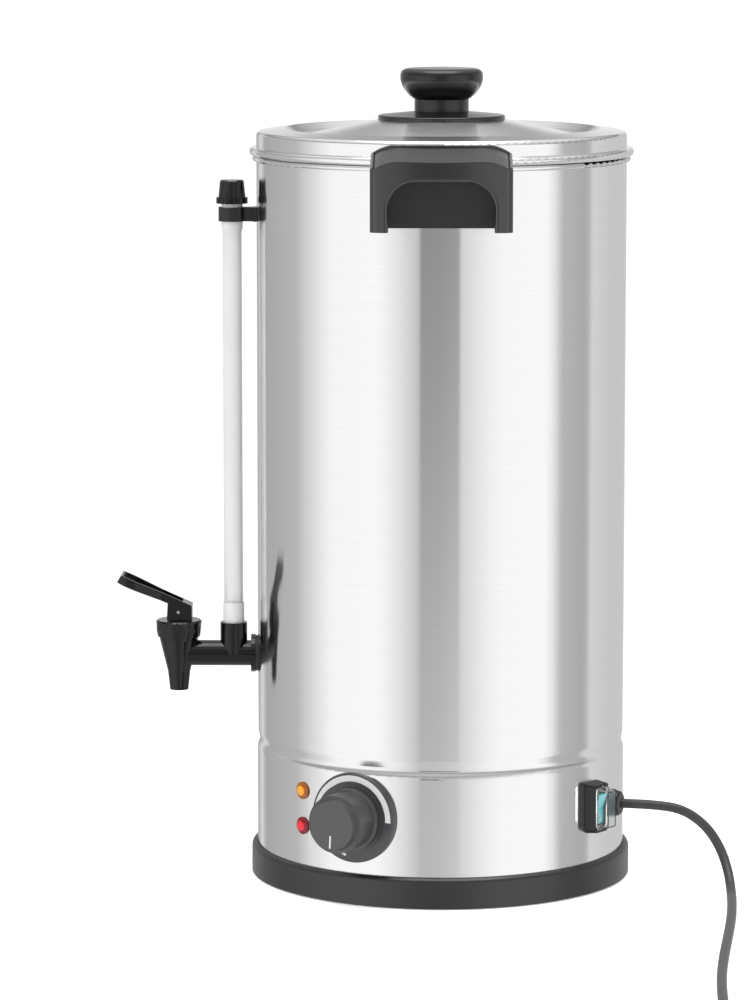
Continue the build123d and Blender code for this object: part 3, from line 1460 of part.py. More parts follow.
bracket_middle = (bracket_bottom + bracket_top) / 2
with BuildPart() as gauge_bracket:
    with BuildSketch(Plane.XY.offset(bracket_bottom)):
        with Locations(gauge_spot):
            Circle(bracket_radius)
            Rectangle(-tee_x, bracket_arm, align=(Align.MIN, Align.CENTER))
        with Locations((-shell_radius - bracket_foot_depth, 0)):
            Rectangle(shell_radius, bracket_foot, align=(Align.MIN, Align.CENTER))
        with Locations(gauge_spot):
            Circle(sleeve_radius + seat_gap, mode=Mode.SUBTRACT)
    extrude(amount=bracket_top - bracket_bottom)
    add(shell_mask, mode=Mode.SUBTRACT)
    with BuildSketch(Plane.YZ.offset(-shell_radius)):
        with Locations((0, bracket_middle)):
            Circle(bracket_screw_radius + pivot_gap)
    extrude(amount=-bracket_screw_length, mode=Mode.SUBTRACT)
write_node(gauge_bracket.part, "gauge_bracket")

bracket_head_face = -(shell_radius - sheet - slide_gap)
with BuildPart() as bracket_screw:
    with BuildSketch(Plane.YZ.offset(bracket_head_face)):
        with Locations((0, bracket_middle)):
            Circle(bracket_head_radius)
    extrude(amount=bracket_head_height)
    with BuildSketch(Plane.YZ.offset(bracket_head_face)):
        with Locations((0, bracket_middle)):
            Circle(bracket_screw_radius)
    extrude(amount=-bracket_screw_length)
write_node(bracket_screw.part, "bracket_screw")

gauge_side = Plane(origin=(tee_x, 0, 0), x_dir=(1, 0, 0), z_dir=(0, -1, 0))
cap_shoulder = cap_seat + cap_flange
with BuildPart() as gauge_cap:
    with BuildSketch(gauge_side):
        with BuildLine():
            Polyline(
                (0, cap_seat - cap_plug_length), (cap_plug_radius, cap_seat - cap_plug_length),
                (cap_plug_radius, cap_seat), (cap_flange_radius, cap_seat), (cap_flange_radius, cap_shoulder),
                (cap_low_radius, cap_shoulder), (cap_top_radius, cap_top - bevel),
                (cap_top_radius - bevel, cap_top), (0, cap_top), close=True)
        make_face()
    revolve(axis=Axis((tee_x, 0, 0), (0, 0, 1)))
    with BuildSketch(Plane.XY.offset(cap_seat)):
        with Locations(gauge_spot):
            with PolarLocations(cap_flange_radius, cap_flutes):
                Circle(cap_flute_radius)
    extrude(amount=cap_flange, mode=Mode.SUBTRACT)
    with BuildSketch(Plane.XY.offset(cap_shoulder)):
        with Locations(gauge_spot):
            with PolarLocations(cap_low_radius + cap_facet_radius / 2, cap_facets):
                Circle(cap_facet_radius)
    extrude(amount=cap_top - cap_shoulder, mode=Mode.SUBTRACT)
write_node(gauge_cap.part, "gauge_cap")
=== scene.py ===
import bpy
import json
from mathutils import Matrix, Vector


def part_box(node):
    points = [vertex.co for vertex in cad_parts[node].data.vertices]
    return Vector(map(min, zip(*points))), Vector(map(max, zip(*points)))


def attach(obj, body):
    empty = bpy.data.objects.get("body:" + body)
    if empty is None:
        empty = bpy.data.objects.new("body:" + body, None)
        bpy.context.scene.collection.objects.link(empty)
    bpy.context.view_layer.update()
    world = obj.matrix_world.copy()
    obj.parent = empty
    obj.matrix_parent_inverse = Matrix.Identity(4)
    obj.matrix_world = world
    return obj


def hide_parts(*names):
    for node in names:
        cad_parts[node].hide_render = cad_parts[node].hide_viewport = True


bl_info = {
    "name": "Hot Water Urn",
    "version": (1, 0, 0),
    "blender": (4, 5, 0),
    "location": "3D View > Sidebar > Urn",
    "description": "Gives the packed urn its mains lead, finishes, printed marks and a studio",
    "category": "Object",
}

import json
from math import cos, pi, radians, sin

import bmesh
import bpy
from bpy.props import FloatProperty, FloatVectorProperty, IntProperty, PointerProperty
from mathutils import Matrix, Vector

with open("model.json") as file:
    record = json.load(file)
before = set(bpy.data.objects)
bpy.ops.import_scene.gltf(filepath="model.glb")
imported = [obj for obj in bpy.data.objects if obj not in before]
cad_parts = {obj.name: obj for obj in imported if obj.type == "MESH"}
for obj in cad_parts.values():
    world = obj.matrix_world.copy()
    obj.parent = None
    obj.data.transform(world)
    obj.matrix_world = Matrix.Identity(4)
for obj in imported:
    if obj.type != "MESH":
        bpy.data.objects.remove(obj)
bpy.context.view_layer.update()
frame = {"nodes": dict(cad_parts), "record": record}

MM = 0.001

# ================================================================ places
# Places that the frame's boxes don't give, in millimetres and degrees. Angles
# go round the urn from its front, as the CAD source counts them.
SKIRT_RADIUS = 128.5
CONTROL_ANGLE = -27.0
CONTROL_HEIGHT = 60.5
BEZEL_FACE = 131.6
DIAL_FACE = 162.3
LAMP_ANGLE = -47.0
LAMP_HEIGHTS = {"heating_lamp": 73.5, "power_lamp": 49.0}
SWITCH_ANGLE = 54.3
SWITCH_HEIGHT = 60.2
ROCKER_AXIS = 131.3
ROCKER_TILT = 8.0
GLAND_ANGLE = 67.0
GLAND_HEIGHT = 58.0
GLAND_NUT_START = 130.65
LID_MIDDLE = 109.0         # radius inside which the lid's brushing blurs more


def radial_matrix(angle, radius, height):
    """Placement on the urn: x to the right seen from outside, y up, z outwards, in metres."""
    turn = radians(angle)
    outward = Vector((sin(turn), -cos(turn), 0))
    rightward = Vector((cos(turn), sin(turn), 0))
    place = Matrix((rightward, Vector((0, 0, 1)), outward)).transposed().to_4x4()
    place.translation = outward * radius * MM + Vector((0, 0, height * MM))
    return place


# ================================================================ sizes and colours
def colour(name, description, default):
    """A colour setting."""
    return FloatVectorProperty(
        name=name, description=description, default=default, subtype="COLOR", size=3, min=0, max=1)


def share(name, description, default):
    """A setting from 0 to 1."""
    return FloatProperty(name=name, description=description, default=default, subtype="FACTOR", min=0, max=1)


def length(name, description, default):
    """A length in metres."""
    return FloatProperty(
        name=name, description=description, default=default, subtype="DISTANCE", unit="LENGTH")


def amount(name, description, default, least):
    """A whole number of like things."""
    return IntProperty(name=name, description=description, default=default, min=least)


def watts(name, description, default):
    """A light's power in watts."""
    return FloatProperty(name=name, description=description, default=default, unit="POWER")


class UrnFinish(bpy.types.PropertyGroup):
    """Colours and surface of the urn's materials."""
    steel: colour("Steel", "Brushed stainless steel of shell and lid", (0.80, 0.80, 0.795))
    steel_roughness: share("Steel roughness", "How blurred the steel's reflections are", 0.125)
    lid_roughness: share("Lid roughness", "The same for the lid's brushed middle", 0.21)
    steel_grain: share("Steel brushing", "How far the brushing stretches the reflections", 0.92)
    base: colour("Base", "Plastic base ring", (0.007, 0.0073, 0.008))
    handle: colour("Handles", "Side handles and lid knob", (0.006, 0.0062, 0.0068))
    tap: colour("Tap", "Gloss plastic of tap and gauge cap", (0.0035, 0.0035, 0.0038))
    dial: colour("Dial", "Thermostat knob", (0.034, 0.035, 0.0375))
    bezel: colour("Bezel", "Thermostat bezel", (0.036, 0.037, 0.040))
    print_white: colour("Print", "Printed marks", (0.56, 0.56, 0.55))
    amber: colour("Amber lens", "Upper pilot lamp", (0.95, 0.30, 0.015))
    red: colour("Red lens", "Lower pilot lamp", (0.70, 0.015, 0.03))
    rocker: colour("Rocker", "Mains rocker", (0.03, 0.56, 0.60))
    tube: colour("Gauge tube", "Milky tube of the sight gauge", (0.965, 0.97, 0.97))
    cord: colour("Cord", "Rubber sheath of the mains lead", (0.030, 0.0305, 0.033))


class UrnCord(bpy.types.PropertyGroup):
    """Sizes of the mains lead."""
    diameter: length("Cord diameter", "Outside of the lead's sheath", 0.0066)
    real_length: length("Cord length", "Whole lead, from gland to plug", 1.5)
    coil_outer: length("Coil outside", "Middle of the outer turn", 0.0427)
    coil_inner: length("Coil inside", "Middle of the inner turn", 0.0293)
    layer_turns: amount("Turns in a layer", "Turns of the coil in each layer", 2, 1)
    turn_points: amount("Points in a turn", "Control points of each turn", 14, 12)


class UrnMarks(bpy.types.PropertyGroup):
    """Printed marks and moulded grips."""
    band_width: length("Band width", "White heat band on the bezel", 0.0040)
    band_radius: length("Band radius", "Outer edge of the heat band", 0.0293)
    pointer_width: length("Pointer width", "White line on the thermostat knob", 0.0011)
    index_length: length("Index length", "White triangle on the bezel, tip to base", 0.0075)
    index_width: length("Index width", "The triangle's base", 0.0019)
    bonnet_grips: amount("Bonnet grips", "Grips round the tap's bonnet", 12, 3)
    gland_ribs: amount("Gland ribs", "Ribs round the gland nut", 10, 3)
    tail_rings: amount("Tail rings", "Rings on the plug's tail", 5, 2)


class UrnStudio(bpy.types.PropertyGroup):
    """Floor and light of the studio."""
    floor_size: length("Floor size", "Side of the pale floor", 12.0)
    top_light: watts("Top light", "Power of the softbox overhead", 30.0)
    side_light: watts("Side light", "Power of the softbox at the front left", 9.0)
    backdrop: FloatProperty(name="Backdrop", description="Brightness of the white backdrop", default=1.08)


# ================================================================ node helpers
def add_node(tree, kind, inputs=None, **settings):
    """Add a node, set its properties, and fill its inputs with values or links."""
    node = tree.nodes.new(kind)
    for name, value in settings.items():
        setattr(node, name, value)
    for key, value in (inputs or {}).items():
        socket = node.inputs[key]
        if isinstance(value, bpy.types.NodeSocket):
            tree.links.new(value, socket)
        else:
            socket.default_value = value
    return node


def math_node(tree, operation, first, second):
    """Result of one sum on values or sockets."""
    return add_node(tree, "ShaderNodeMath", {0: first, 1: second}, operation=operation).outputs[0]


def blend_colours(tree, factor, low, high):
    """Colour between two, by a factor socket."""
    node = add_node(tree, "ShaderNodeMix", {"Factor": factor, "A": low, "B": high}, data_type="RGBA")
    return node.outputs["Result"]


def map_range(tree, value, low, high, new_low=0.0, new_high=1.0, **settings):
    """A value carried from one range to another and held inside it."""
    limits = {"From Min": low, "From Max": high, "To Min": new_low, "To Max": new_high}
    node = add_node(tree, "ShaderNodeMapRange", {"Value": value, **limits}, **settings)
    return node.outputs["Result"]


def new_group(name, inputs, outputs):
    """Empty shader group with its sockets, its input node and its output node."""
    group = bpy.data.node_groups.new(name, "ShaderNodeTree")
    for socket_name, kind, value in inputs:
        socket = group.interface.new_socket(socket_name, in_out="INPUT", socket_type=kind)
        socket.default_value = value
    for socket_name, kind in outputs:
        group.interface.new_socket(socket_name, in_out="OUTPUT", socket_type=kind)
    return group, group.nodes.new("NodeGroupInput"), group.nodes.new("NodeGroupOutput")


def grain_group():
    """Fine grain stretched along chosen directions, for brushing and moulded skin."""
    name = "Surface Grain"
    if name in bpy.data.node_groups:
        return bpy.data.node_groups[name]
    group, given, result = new_group(
        name,
        [("Stretch", "NodeSocketVector", (1.0, 1.0, 1.0)), ("Detail", "NodeSocketFloat", 3.0)],
        [("Grain", "NodeSocketFloat")])
    place = add_node(group, "ShaderNodeTexCoord").outputs["Object"]
    scaled = add_node(
        group, "ShaderNodeVectorMath", {0: place, 1: given.outputs["Stretch"]}, operation="MULTIPLY")
    noise = add_node(
        group, "ShaderNodeTexNoise",
        {"Vector": scaled.outputs[0], "Scale": 1.0, "Detail": given.outputs["Detail"]})
    group.links.new(noise.outputs["Fac"], result.inputs["Grain"])
    return group


def wear_group():
    """Slow handling marks, as a mask from 0 to 1."""
    name = "Handling Marks"
    if name in bpy.data.node_groups:
        return bpy.data.node_groups[name]
    group, given, result = new_group(
        name,
        [("Size", "NodeSocketFloat", 40.0), ("Spread", "NodeSocketFloat", 0.2)],
        [("Mask", "NodeSocketFloat")])
    place = add_node(group, "ShaderNodeTexCoord").outputs["Object"]
    noise = add_node(
        group, "ShaderNodeTexNoise", {"Vector": place, "Scale": given.outputs["Size"], "Detail": 4.0})
    low = math_node(group, "SUBTRACT", 0.5, given.outputs["Spread"])
    high = math_node(group, "ADD", 0.5, given.outputs["Spread"])
    mask = map_range(group, noise.outputs["Fac"], low, high, interpolation_type="SMOOTHSTEP")
    group.links.new(mask, result.inputs["Mask"])
    return group


def use_group(tree, group, **inputs):
    """A group placed in a material with its own values."""
    node = tree.nodes.new("ShaderNodeGroup")
    node.node_tree = group
    for name, value in inputs.items():
        node.inputs[name.replace("_", " ").title()].default_value = value
    return node.outputs[0]


def new_material(name):
    """Material with one Principled shader, and that shader."""
    material = bpy.data.materials.new(name)
    material.use_nodes = True
    tree = material.node_tree
    tree.nodes.clear()
    shader = tree.nodes.new("ShaderNodeBsdfPrincipled")
    output = tree.nodes.new("ShaderNodeOutputMaterial")
    tree.links.new(shader.outputs["BSDF"], output.inputs["Surface"])
    return material, tree, shader


def rgba(value, strength=1.0):
    """Colour with its alpha, made lighter or darker."""
    return (*[min(channel * strength, 1.0) for channel in value[:3]], 1.0)


def bump(tree, shader, height, depth):
    """Feed a height into the shader's normal, its depth in metres."""
    node = add_node(tree, "ShaderNodeBump", {"Height": height, "Distance": depth})
    tree.links.new(node.outputs["Normal"], shader.inputs["Normal"])


def vary_roughness(tree, shader, mask, low, high):
    """Roughness between two values, by a mask."""
    tree.links.new(map_range(tree, mask, 0.0, 1.0, low, high), shader.inputs["Roughness"])


# ================================================================ materials
FINE_SHARE = 0.75          # fine grain's share of the brushing, the rest is broader
BROAD_SCALE = 0.3          # broad grain's frequency, against the fine grain's
BRUSH_SHADES = (0.93, 1.05)    # darkest and lightest brush marks, against the steel's colour
BRUSH_DEPTH = 0.000010     # metres


def brushed_steel(name, tint, roughness, brushing, stretch=(9.0, 9.0, 3600.0), middle_roughness=None):
    """Stainless steel brushed round the urn's axis, with more blur in its middle where asked."""
    material, tree, shader = new_material(name)
    fine = use_group(tree, grain_group(), stretch=stretch, detail=2.0)
    wide = tuple(value * BROAD_SCALE for value in stretch)
    broad = use_group(tree, grain_group(), stretch=wide, detail=2.0)
    mixed = math_node(
        tree, "ADD", math_node(tree, "MULTIPLY", fine, FINE_SHARE),
        math_node(tree, "MULTIPLY", broad, 1 - FINE_SHARE))
    shade = blend_colours(tree, mixed, *[rgba(tint, strength) for strength in BRUSH_SHADES])
    tree.links.new(shade, shader.inputs["Base Color"])
    if middle_roughness is None:
        marks = use_group(tree, wear_group(), size=14.0, spread=0.25)
        vary_roughness(tree, shader, marks, roughness - 0.005, roughness + 0.01)
    else:
        place = add_node(tree, "ShaderNodeTexCoord").outputs["Object"]
        across = add_node(tree, "ShaderNodeVectorMath", {0: place, 1: (1.0, 1.0, 0.0)}, operation="MULTIPLY")
        radius = add_node(tree, "ShaderNodeVectorMath", {0: across.outputs[0]}, operation="LENGTH")
        inside = math_node(tree, "LESS_THAN", radius.outputs["Value"], LID_MIDDLE * MM)
        vary_roughness(tree, shader, inside, roughness, middle_roughness)
    shader.inputs["Metallic"].default_value = 1.0
    shader.inputs["Anisotropic"].default_value = brushing
    shader.inputs["Anisotropic Rotation"].default_value = 0.25
    tangent = add_node(tree, "ShaderNodeTangent", direction_type="RADIAL", axis="Z")
    tree.links.new(tangent.outputs["Tangent"], shader.inputs["Tangent"])
    bump(tree, shader, mixed, BRUSH_DEPTH)
    return material


def plain_metal(name, tint, roughness):
    """Plain, pressed or turned metal with faint marks."""
    material, tree, shader = new_material(name)
    marks = use_group(tree, wear_group(), size=60.0, spread=0.22)
    skin = use_group(tree, grain_group(), stretch=(700.0, 700.0, 700.0), detail=2.0)
    shade = blend_colours(tree, marks, rgba(tint, 0.86), rgba(tint, 1.06))
    tree.links.new(shade, shader.inputs["Base Color"])
    vary_roughness(tree, shader, marks, roughness, roughness + 0.12)
    shader.inputs["Metallic"].default_value = 1.0
    bump(tree, shader, skin, 0.00002)
    return material


def moulded_plastic(name, tint, roughness, texture=900.0, depth=0.00003, coat=0.0, variation=0.14, index=1.5):
    """Moulded plastic with its skin texture and faint handling marks."""
    material, tree, shader = new_material(name)
    marks = use_group(tree, wear_group(), size=28.0, spread=0.24)
    skin = use_group(tree, grain_group(), stretch=(texture, texture, texture), detail=3.0)
    shade = blend_colours(tree, skin, rgba(tint, 1 - variation), rgba(tint, 1 + variation))
    tree.links.new(shade, shader.inputs["Base Color"])
    vary_roughness(tree, shader, marks, roughness, roughness + 0.07)
    shader.inputs["IOR"].default_value = index
    shader.inputs["Coat Weight"].default_value = coat
    shader.inputs["Coat Roughness"].default_value = 0.08
    bump(tree, shader, skin, depth)
    return material


def clear_material(name, tint, roughness, transmission, index=1.45, cloud=0.05):
    """Glass, silicone or clear plastic with faint clouding."""
    material, tree, shader = new_material(name)
    marks = use_group(tree, wear_group(), size=50.0, spread=0.3)
    skin = use_group(tree, grain_group(), stretch=(300.0, 300.0, 60.0), detail=2.0)
    shade = blend_colours(tree, marks, rgba(tint, 1 - cloud), rgba(tint))
    tree.links.new(shade, shader.inputs["Base Color"])
    vary_roughness(tree, shader, marks, roughness, roughness + 0.05)
    shader.inputs["Transmission Weight"].default_value = transmission
    shader.inputs["IOR"].default_value = index
    bump(tree, shader, skin, 0.00002)
    return material


def lens_material(name, tint, glow):
    """Coloured pilot lamp lens, glowing faintly through its facets."""
    material, tree, shader = new_material(name)
    marks = use_group(tree, wear_group(), size=420.0, spread=0.3)
    shade = blend_colours(tree, marks, rgba(tint, 0.8), rgba(tint, 1.1))
    tree.links.new(shade, shader.inputs["Base Color"])
    tree.links.new(shade, shader.inputs["Emission Color"])
    shader.inputs["Emission Strength"].default_value = glow
    shader.inputs["Transmission Weight"].default_value = 0.25
    vary_roughness(tree, shader, marks, 0.10, 0.18)
    return material


def rubber(name, tint, roughness=0.42, texture=700.0):
    """Rubber or silicone with a dusty skin."""
    material, tree, shader = new_material(name)
    marks = use_group(tree, wear_group(), size=35.0, spread=0.3)
    skin = use_group(tree, grain_group(), stretch=(texture, texture, texture), detail=3.0)
    shade = blend_colours(tree, marks, rgba(tint, 0.85), rgba(tint, 1.2))
    tree.links.new(shade, shader.inputs["Base Color"])
    vary_roughness(tree, shader, skin, roughness, roughness + 0.12)
    shader.inputs["Sheen Weight"].default_value = 0.05
    bump(tree, shader, skin, 0.00004)
    return material


def make_finishes(settings):
    """Every finish of the urn, by its material slot's name, or by its own where the slot has two."""
    steel = settings.steel
    return {
        "brushed_steel": brushed_steel(
            "Brushed Steel", steel, settings.steel_roughness, settings.steel_grain,
            middle_roughness=settings.lid_roughness),
        "plain_steel": brushed_steel(
            "Plain Steel", rgba(steel, 0.86), 0.32, 0.4, stretch=(40.0, 40.0, 900.0)),
        "steel_fasteners": plain_metal("Plated Steel", (0.62, 0.62, 0.61), 0.24),
        "spring_steel": plain_metal("Spring Wire", (0.5, 0.5, 0.5), 0.28),
        "copper": plain_metal("Copper", (0.72, 0.42, 0.25), 0.3),
        "base_black": moulded_plastic(
            "Base Plastic", settings.base, 0.30, texture=1300.0, depth=0.00004, index=1.62),
        "handle_black": moulded_plastic(
            "Handle Plastic", settings.handle, 0.2, texture=1500.0, depth=0.00002, index=1.75),
        "knob_black": moulded_plastic("Knob Plastic", settings.handle, 0.2, texture=1500.0, depth=0.00002),
        "bracket_black": moulded_plastic("Bracket Plastic", settings.handle, 0.34),
        "tap_black": moulded_plastic(
            "Tap Plastic", settings.tap, 0.045, texture=320.0, depth=0.000012, index=1.42),
        "dial_black": moulded_plastic(
            "Dial Plastic", settings.dial, 0.34, texture=1500.0, depth=0.00004, index=1.7),
        "bezel_black": moulded_plastic(
            "Bezel Plastic", settings.bezel, 0.34, texture=1500.0, depth=0.00004, index=1.6),
        "switch_black": moulded_plastic("Switch Plastic", settings.tap, 0.25),
        "rocker_green": moulded_plastic("Rocker Plastic", settings.rocker, 0.16, coat=0.4),
        "clear_cover": clear_material("Splash Cover", (0.97, 0.98, 0.98), 0.07, 1.0, index=1.4),
        "gauge_clear": clear_material("Gauge Tube", settings.tube, 0.28, 0.7, cloud=0.03),
        "clear_silicone": clear_material("Clear Silicone", (0.94, 0.945, 0.945), 0.3, 0.4, index=1.41),
        "white_silicone": rubber("White Silicone", (0.8, 0.79, 0.77)),
        "black_rubber": rubber("Black Rubber", (0.018, 0.018, 0.018), 0.55),
        "amber_lens": lens_material("Amber Lens", rgba(settings.amber, 0.34), 0.0),
        "red_lens": lens_material("Red Lens", rgba(settings.red, 0.3), 0.0),
        "amber_glow": lens_material("Amber Glow", settings.amber, 0.45),
        "red_glow": lens_material("Red Glow", settings.red, 0.4),
        "control_housing": moulded_plastic("Control Housing", (0.6, 0.57, 0.5), 0.5),
        "terminal_white": moulded_plastic("Terminal Block", (0.8, 0.8, 0.77), 0.45),
        "heater_aluminium": plain_metal("Cast Aluminium", (0.66, 0.66, 0.67), 0.45),
        "earth_brass": plain_metal("Brass", (0.75, 0.58, 0.28), 0.28),
        "pin_nickel": plain_metal("Nickel", (0.72, 0.7, 0.66), 0.2),
        "cord_black": rubber("Cord Rubber", settings.cord, 0.36, texture=1200.0),
        "print_white": moulded_plastic("White Print", settings.print_white, 0.45, variation=0.05),
    }


finishes = {}


def finish(name):
    """A finish by its name, with all of them made at the first call."""
    if not finishes:
        finishes.update(make_finishes(bpy.context.scene.urn_finish))
    return finishes[name]


def dress(*nodes, finish_name=None):
    """Give CAD nodes the finish that their record names, or another one."""
    slots = {row["node"]: row["material_slot"] for row in frame["record"]["subparts"]}
    for name in nodes:
        materials = frame["nodes"][name].data.materials
        materials.clear()
        materials.append(finish(finish_name or slots[name]))


# ================================================================ mesh helpers
def place_piece(name, mesh, slot_name, body, finish_name=None):
    """Put a finished mesh in the scene as a piece that rides on a body."""
    piece = bpy.data.objects.new(name, mesh)
    bpy.context.scene.collection.objects.link(piece)
    mesh.materials.clear()
    mesh.materials.append(finish(finish_name or slot_name))
    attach(piece, body)
    return piece


def mesh_from_build(name, build, place):
    """Turn a bmesh into a mesh, its faces outwards, in its place."""
    bmesh.ops.recalc_face_normals(build, faces=build.faces)
    mesh = bpy.data.meshes.new(name)
    build.to_mesh(mesh)
    build.free()
    mesh.transform(place)
    return mesh


def skin_rows(build, rows, closed):
    """Faces round a section's rows of vertices, with the last joined to the first where closed."""
    steps = len(rows[0])
    for low, high in zip(rows, rows[1:] + rows[:1]):
        for step in range(steps if closed else steps - 1):
            following = (step + 1) % steps
            build.faces.new((low[step], low[following], high[following], high[step]))


def solid_from_outline(name, outline, thickness, place):
    """Thin plate from a closed outline, its back on the placement's plane."""
    build = bmesh.new()
    front = [build.verts.new((x, y, thickness)) for x, y in outline]
    back = [build.verts.new((x, y, 0.0)) for x, y in outline]
    build.faces.new(front)
    build.faces.new(back[::-1])
    for index in range(len(outline)):
        following = (index + 1) % len(outline)
        build.faces.new((back[index], back[following], front[following], front[index]))
    return mesh_from_build(name, build, place)


def ring_plate(name, outer, inner, thickness, place, segments=40):
    """Flat ring, such as the O of a switch."""
    build = bmesh.new()
    rows = []
    for radius, height in ((inner, 0.0), (outer, 0.0), (outer, thickness), (inner, thickness)):
        turns = [2 * pi * step / segments for step in range(segments)]
        rows.append([build.verts.new((radius * cos(turn), radius * sin(turn), height)) for turn in turns])
    skin_rows(build, rows, closed=True)
    return mesh_from_build(name, build, place)


def faceted_dome(name, radius, height, place, sides=12, tiers=3):
    """Dome of flat facets, flat on top and closed behind."""
    build = bmesh.new()
    rows = []
    for tier in range(tiers + 1):
        turn = (pi / 2) * tier / (tiers + 0.6)
        twist = pi / sides * (tier % 2)
        rows.append([
            build.verts.new((
                radius * cos(turn) * cos(2 * pi * step / sides + twist),
                radius * cos(turn) * sin(2 * pi * step / sides + twist),
                height * sin(turn)))
            for step in range(sides)])
    for tier, (low, high) in enumerate(zip(rows, rows[1:])):
        for step in range(sides):
            following = (step + 1) % sides
            if tier % 2 == 0:
                build.faces.new((low[step], low[following], high[step]))
                build.faces.new((low[following], high[following], high[step]))
            else:
                build.faces.new((low[step], low[following], high[following]))
                build.faces.new((low[step], high[following], high[step]))
    build.faces.new(rows[-1])
    build.faces.new(rows[0][::-1])
    return mesh_from_build(name, build, place)


# ================================================================ geometry node helpers
def new_geometry_tree(name, inputs):
    """Geometry tree with named inputs and one geometry output."""
    tree = bpy.data.node_groups.new(name, "GeometryNodeTree")
    for socket_name, kind, value in inputs:
        socket = tree.interface.new_socket(socket_name, in_out="INPUT", socket_type=kind)
        if value is not None:
            socket.default_value = value
    tree.interface.new_socket("Geometry", in_out="OUTPUT", socket_type="NodeSocketGeometry")
    return tree, tree.nodes.new("NodeGroupInput"), tree.nodes.new("NodeGroupOutput")


def end_tree(tree, given, result, instances):
    """Realize a tree's instances, smooth them and set their material."""
    real = add_node(tree, "GeometryNodeRealizeInstances", {"Geometry": instances})
    smooth = add_node(tree, "GeometryNodeSetShadeSmooth", {0: real.outputs["Geometry"]})
    dressed = add_node(
        tree, "GeometryNodeSetMaterial",
        {"Geometry": smooth.outputs[0], "Material": given.outputs["Material"]})
    tree.links.new(dressed.outputs["Geometry"], result.inputs["Geometry"])


def rib_ring_tree():
    """Rounded ribs set round a circle, each along the axis."""
    name = "Rib Ring"
    if name in bpy.data.node_groups:
        return bpy.data.node_groups[name]
    tree, given, result = new_geometry_tree(name, [
        ("Count", "NodeSocketInt", 12), ("Circle Radius", "NodeSocketFloat", 0.015),
        ("Rib Radius", "NodeSocketFloat", 0.001), ("Rib Length", "NodeSocketFloat", 0.008),
        ("Facets", "NodeSocketInt", 12), ("Material", "NodeSocketMaterial", None)])
    circle = add_node(
        tree, "GeometryNodeMeshCircle",
        {"Vertices": given.outputs["Count"], "Radius": given.outputs["Circle Radius"]}, fill_type="NONE")
    rib = add_node(
        tree, "GeometryNodeMeshUVSphere", {"Segments": given.outputs["Facets"], "Rings": 8, "Radius": 1.0})
    half = math_node(tree, "MULTIPLY", given.outputs["Rib Length"], 0.5)
    scale = add_node(
        tree, "ShaderNodeCombineXYZ",
        {"X": given.outputs["Rib Radius"], "Y": given.outputs["Rib Radius"], "Z": half})
    spread = add_node(
        tree, "GeometryNodeInstanceOnPoints",
        {"Points": circle.outputs["Mesh"], "Instance": rib.outputs["Mesh"], "Scale": scale.outputs["Vector"]})
    end_tree(tree, given, result, spread.outputs["Instances"])
    return tree


def tail_ring_tree():
    """Rings along an axis that grow from one radius to another."""
    name = "Tail Rings"
    if name in bpy.data.node_groups:
        return bpy.data.node_groups[name]
    tree, given, result = new_geometry_tree(name, [
        ("Count", "NodeSocketInt", 5), ("Spacing", "NodeSocketFloat", 0.003),
        ("First Radius", "NodeSocketFloat", 0.005), ("Growth", "NodeSocketFloat", 0.0002),
        ("Ring Thickness", "NodeSocketFloat", 0.0008), ("Material", "NodeSocketMaterial", None)])
    step = add_node(tree, "ShaderNodeCombineXYZ", {"Z": given.outputs["Spacing"]})
    line = add_node(
        tree, "GeometryNodeMeshLine",
        {"Count": given.outputs["Count"], "Offset": step.outputs["Vector"]}, mode="OFFSET")
    loop = add_node(
        tree, "GeometryNodeCurvePrimitiveCircle", {"Resolution": 40, "Radius": 1.0}, mode="RADIUS")
    number = add_node(tree, "GeometryNodeInputIndex")
    grown = add_node(
        tree, "ShaderNodeMath",
        {0: number.outputs[0], 1: given.outputs["Growth"], 2: given.outputs["First Radius"]},
        operation="MULTIPLY_ADD")
    wide = add_node(tree, "ShaderNodeCombineXYZ", {"X": grown.outputs[0], "Y": grown.outputs[0], "Z": 1.0})
    spread = add_node(
        tree, "GeometryNodeInstanceOnPoints",
        {"Points": line.outputs["Mesh"], "Instance": loop.outputs["Curve"], "Scale": wide.outputs["Vector"]})
    loops = add_node(tree, "GeometryNodeRealizeInstances", {"Geometry": spread.outputs["Instances"]})
    wire = add_node(
        tree, "GeometryNodeCurvePrimitiveCircle",
        {"Resolution": 10, "Radius": given.outputs["Ring Thickness"]}, mode="RADIUS")
    rings = add_node(
        tree, "GeometryNodeCurveToMesh",
        {"Curve": loops.outputs["Geometry"], "Profile Curve": wire.outputs["Curve"]})
    end_tree(tree, given, result, rings.outputs["Mesh"])
    return tree


def mesh_from_tree(name, tree, values, place):
    """Run a geometry tree with its values and keep its result as a plain mesh."""
    holder = bpy.data.objects.new(name + "_holder", bpy.data.meshes.new(name + "_holder"))
    bpy.context.scene.collection.objects.link(holder)
    modifier = holder.modifiers.new("Tree", "NODES")
    modifier.node_group = tree
    for item in tree.interface.items_tree:
        if item.item_type == "SOCKET" and item.in_out == "INPUT" and item.name in values:
            modifier[item.identifier] = values[item.name]
    graph = bpy.context.evaluated_depsgraph_get()
    graph.update()
    mesh = bpy.data.meshes.new_from_object(holder.evaluated_get(graph), depsgraph=graph)
    if not mesh.polygons:
        raise RuntimeError(f"{name}: the geometry tree made no faces")
    holder.modifiers.clear()
    bpy.data.objects.remove(holder)
    mesh.name = name
    mesh.transform(place)
    return mesh


# ================================================================ studio
CAMERA_PLACE = (0.0, -3.1447, 0.6961)
CAMERA_YAW = -0.806      # aims left of the axis, in degrees
CAMERA_PITCH = 7.854     # aims down
CAMERA_LENS = 163.69     # millimetres, on the frame below
CAMERA_FRAME = 36.0      # millimetres across

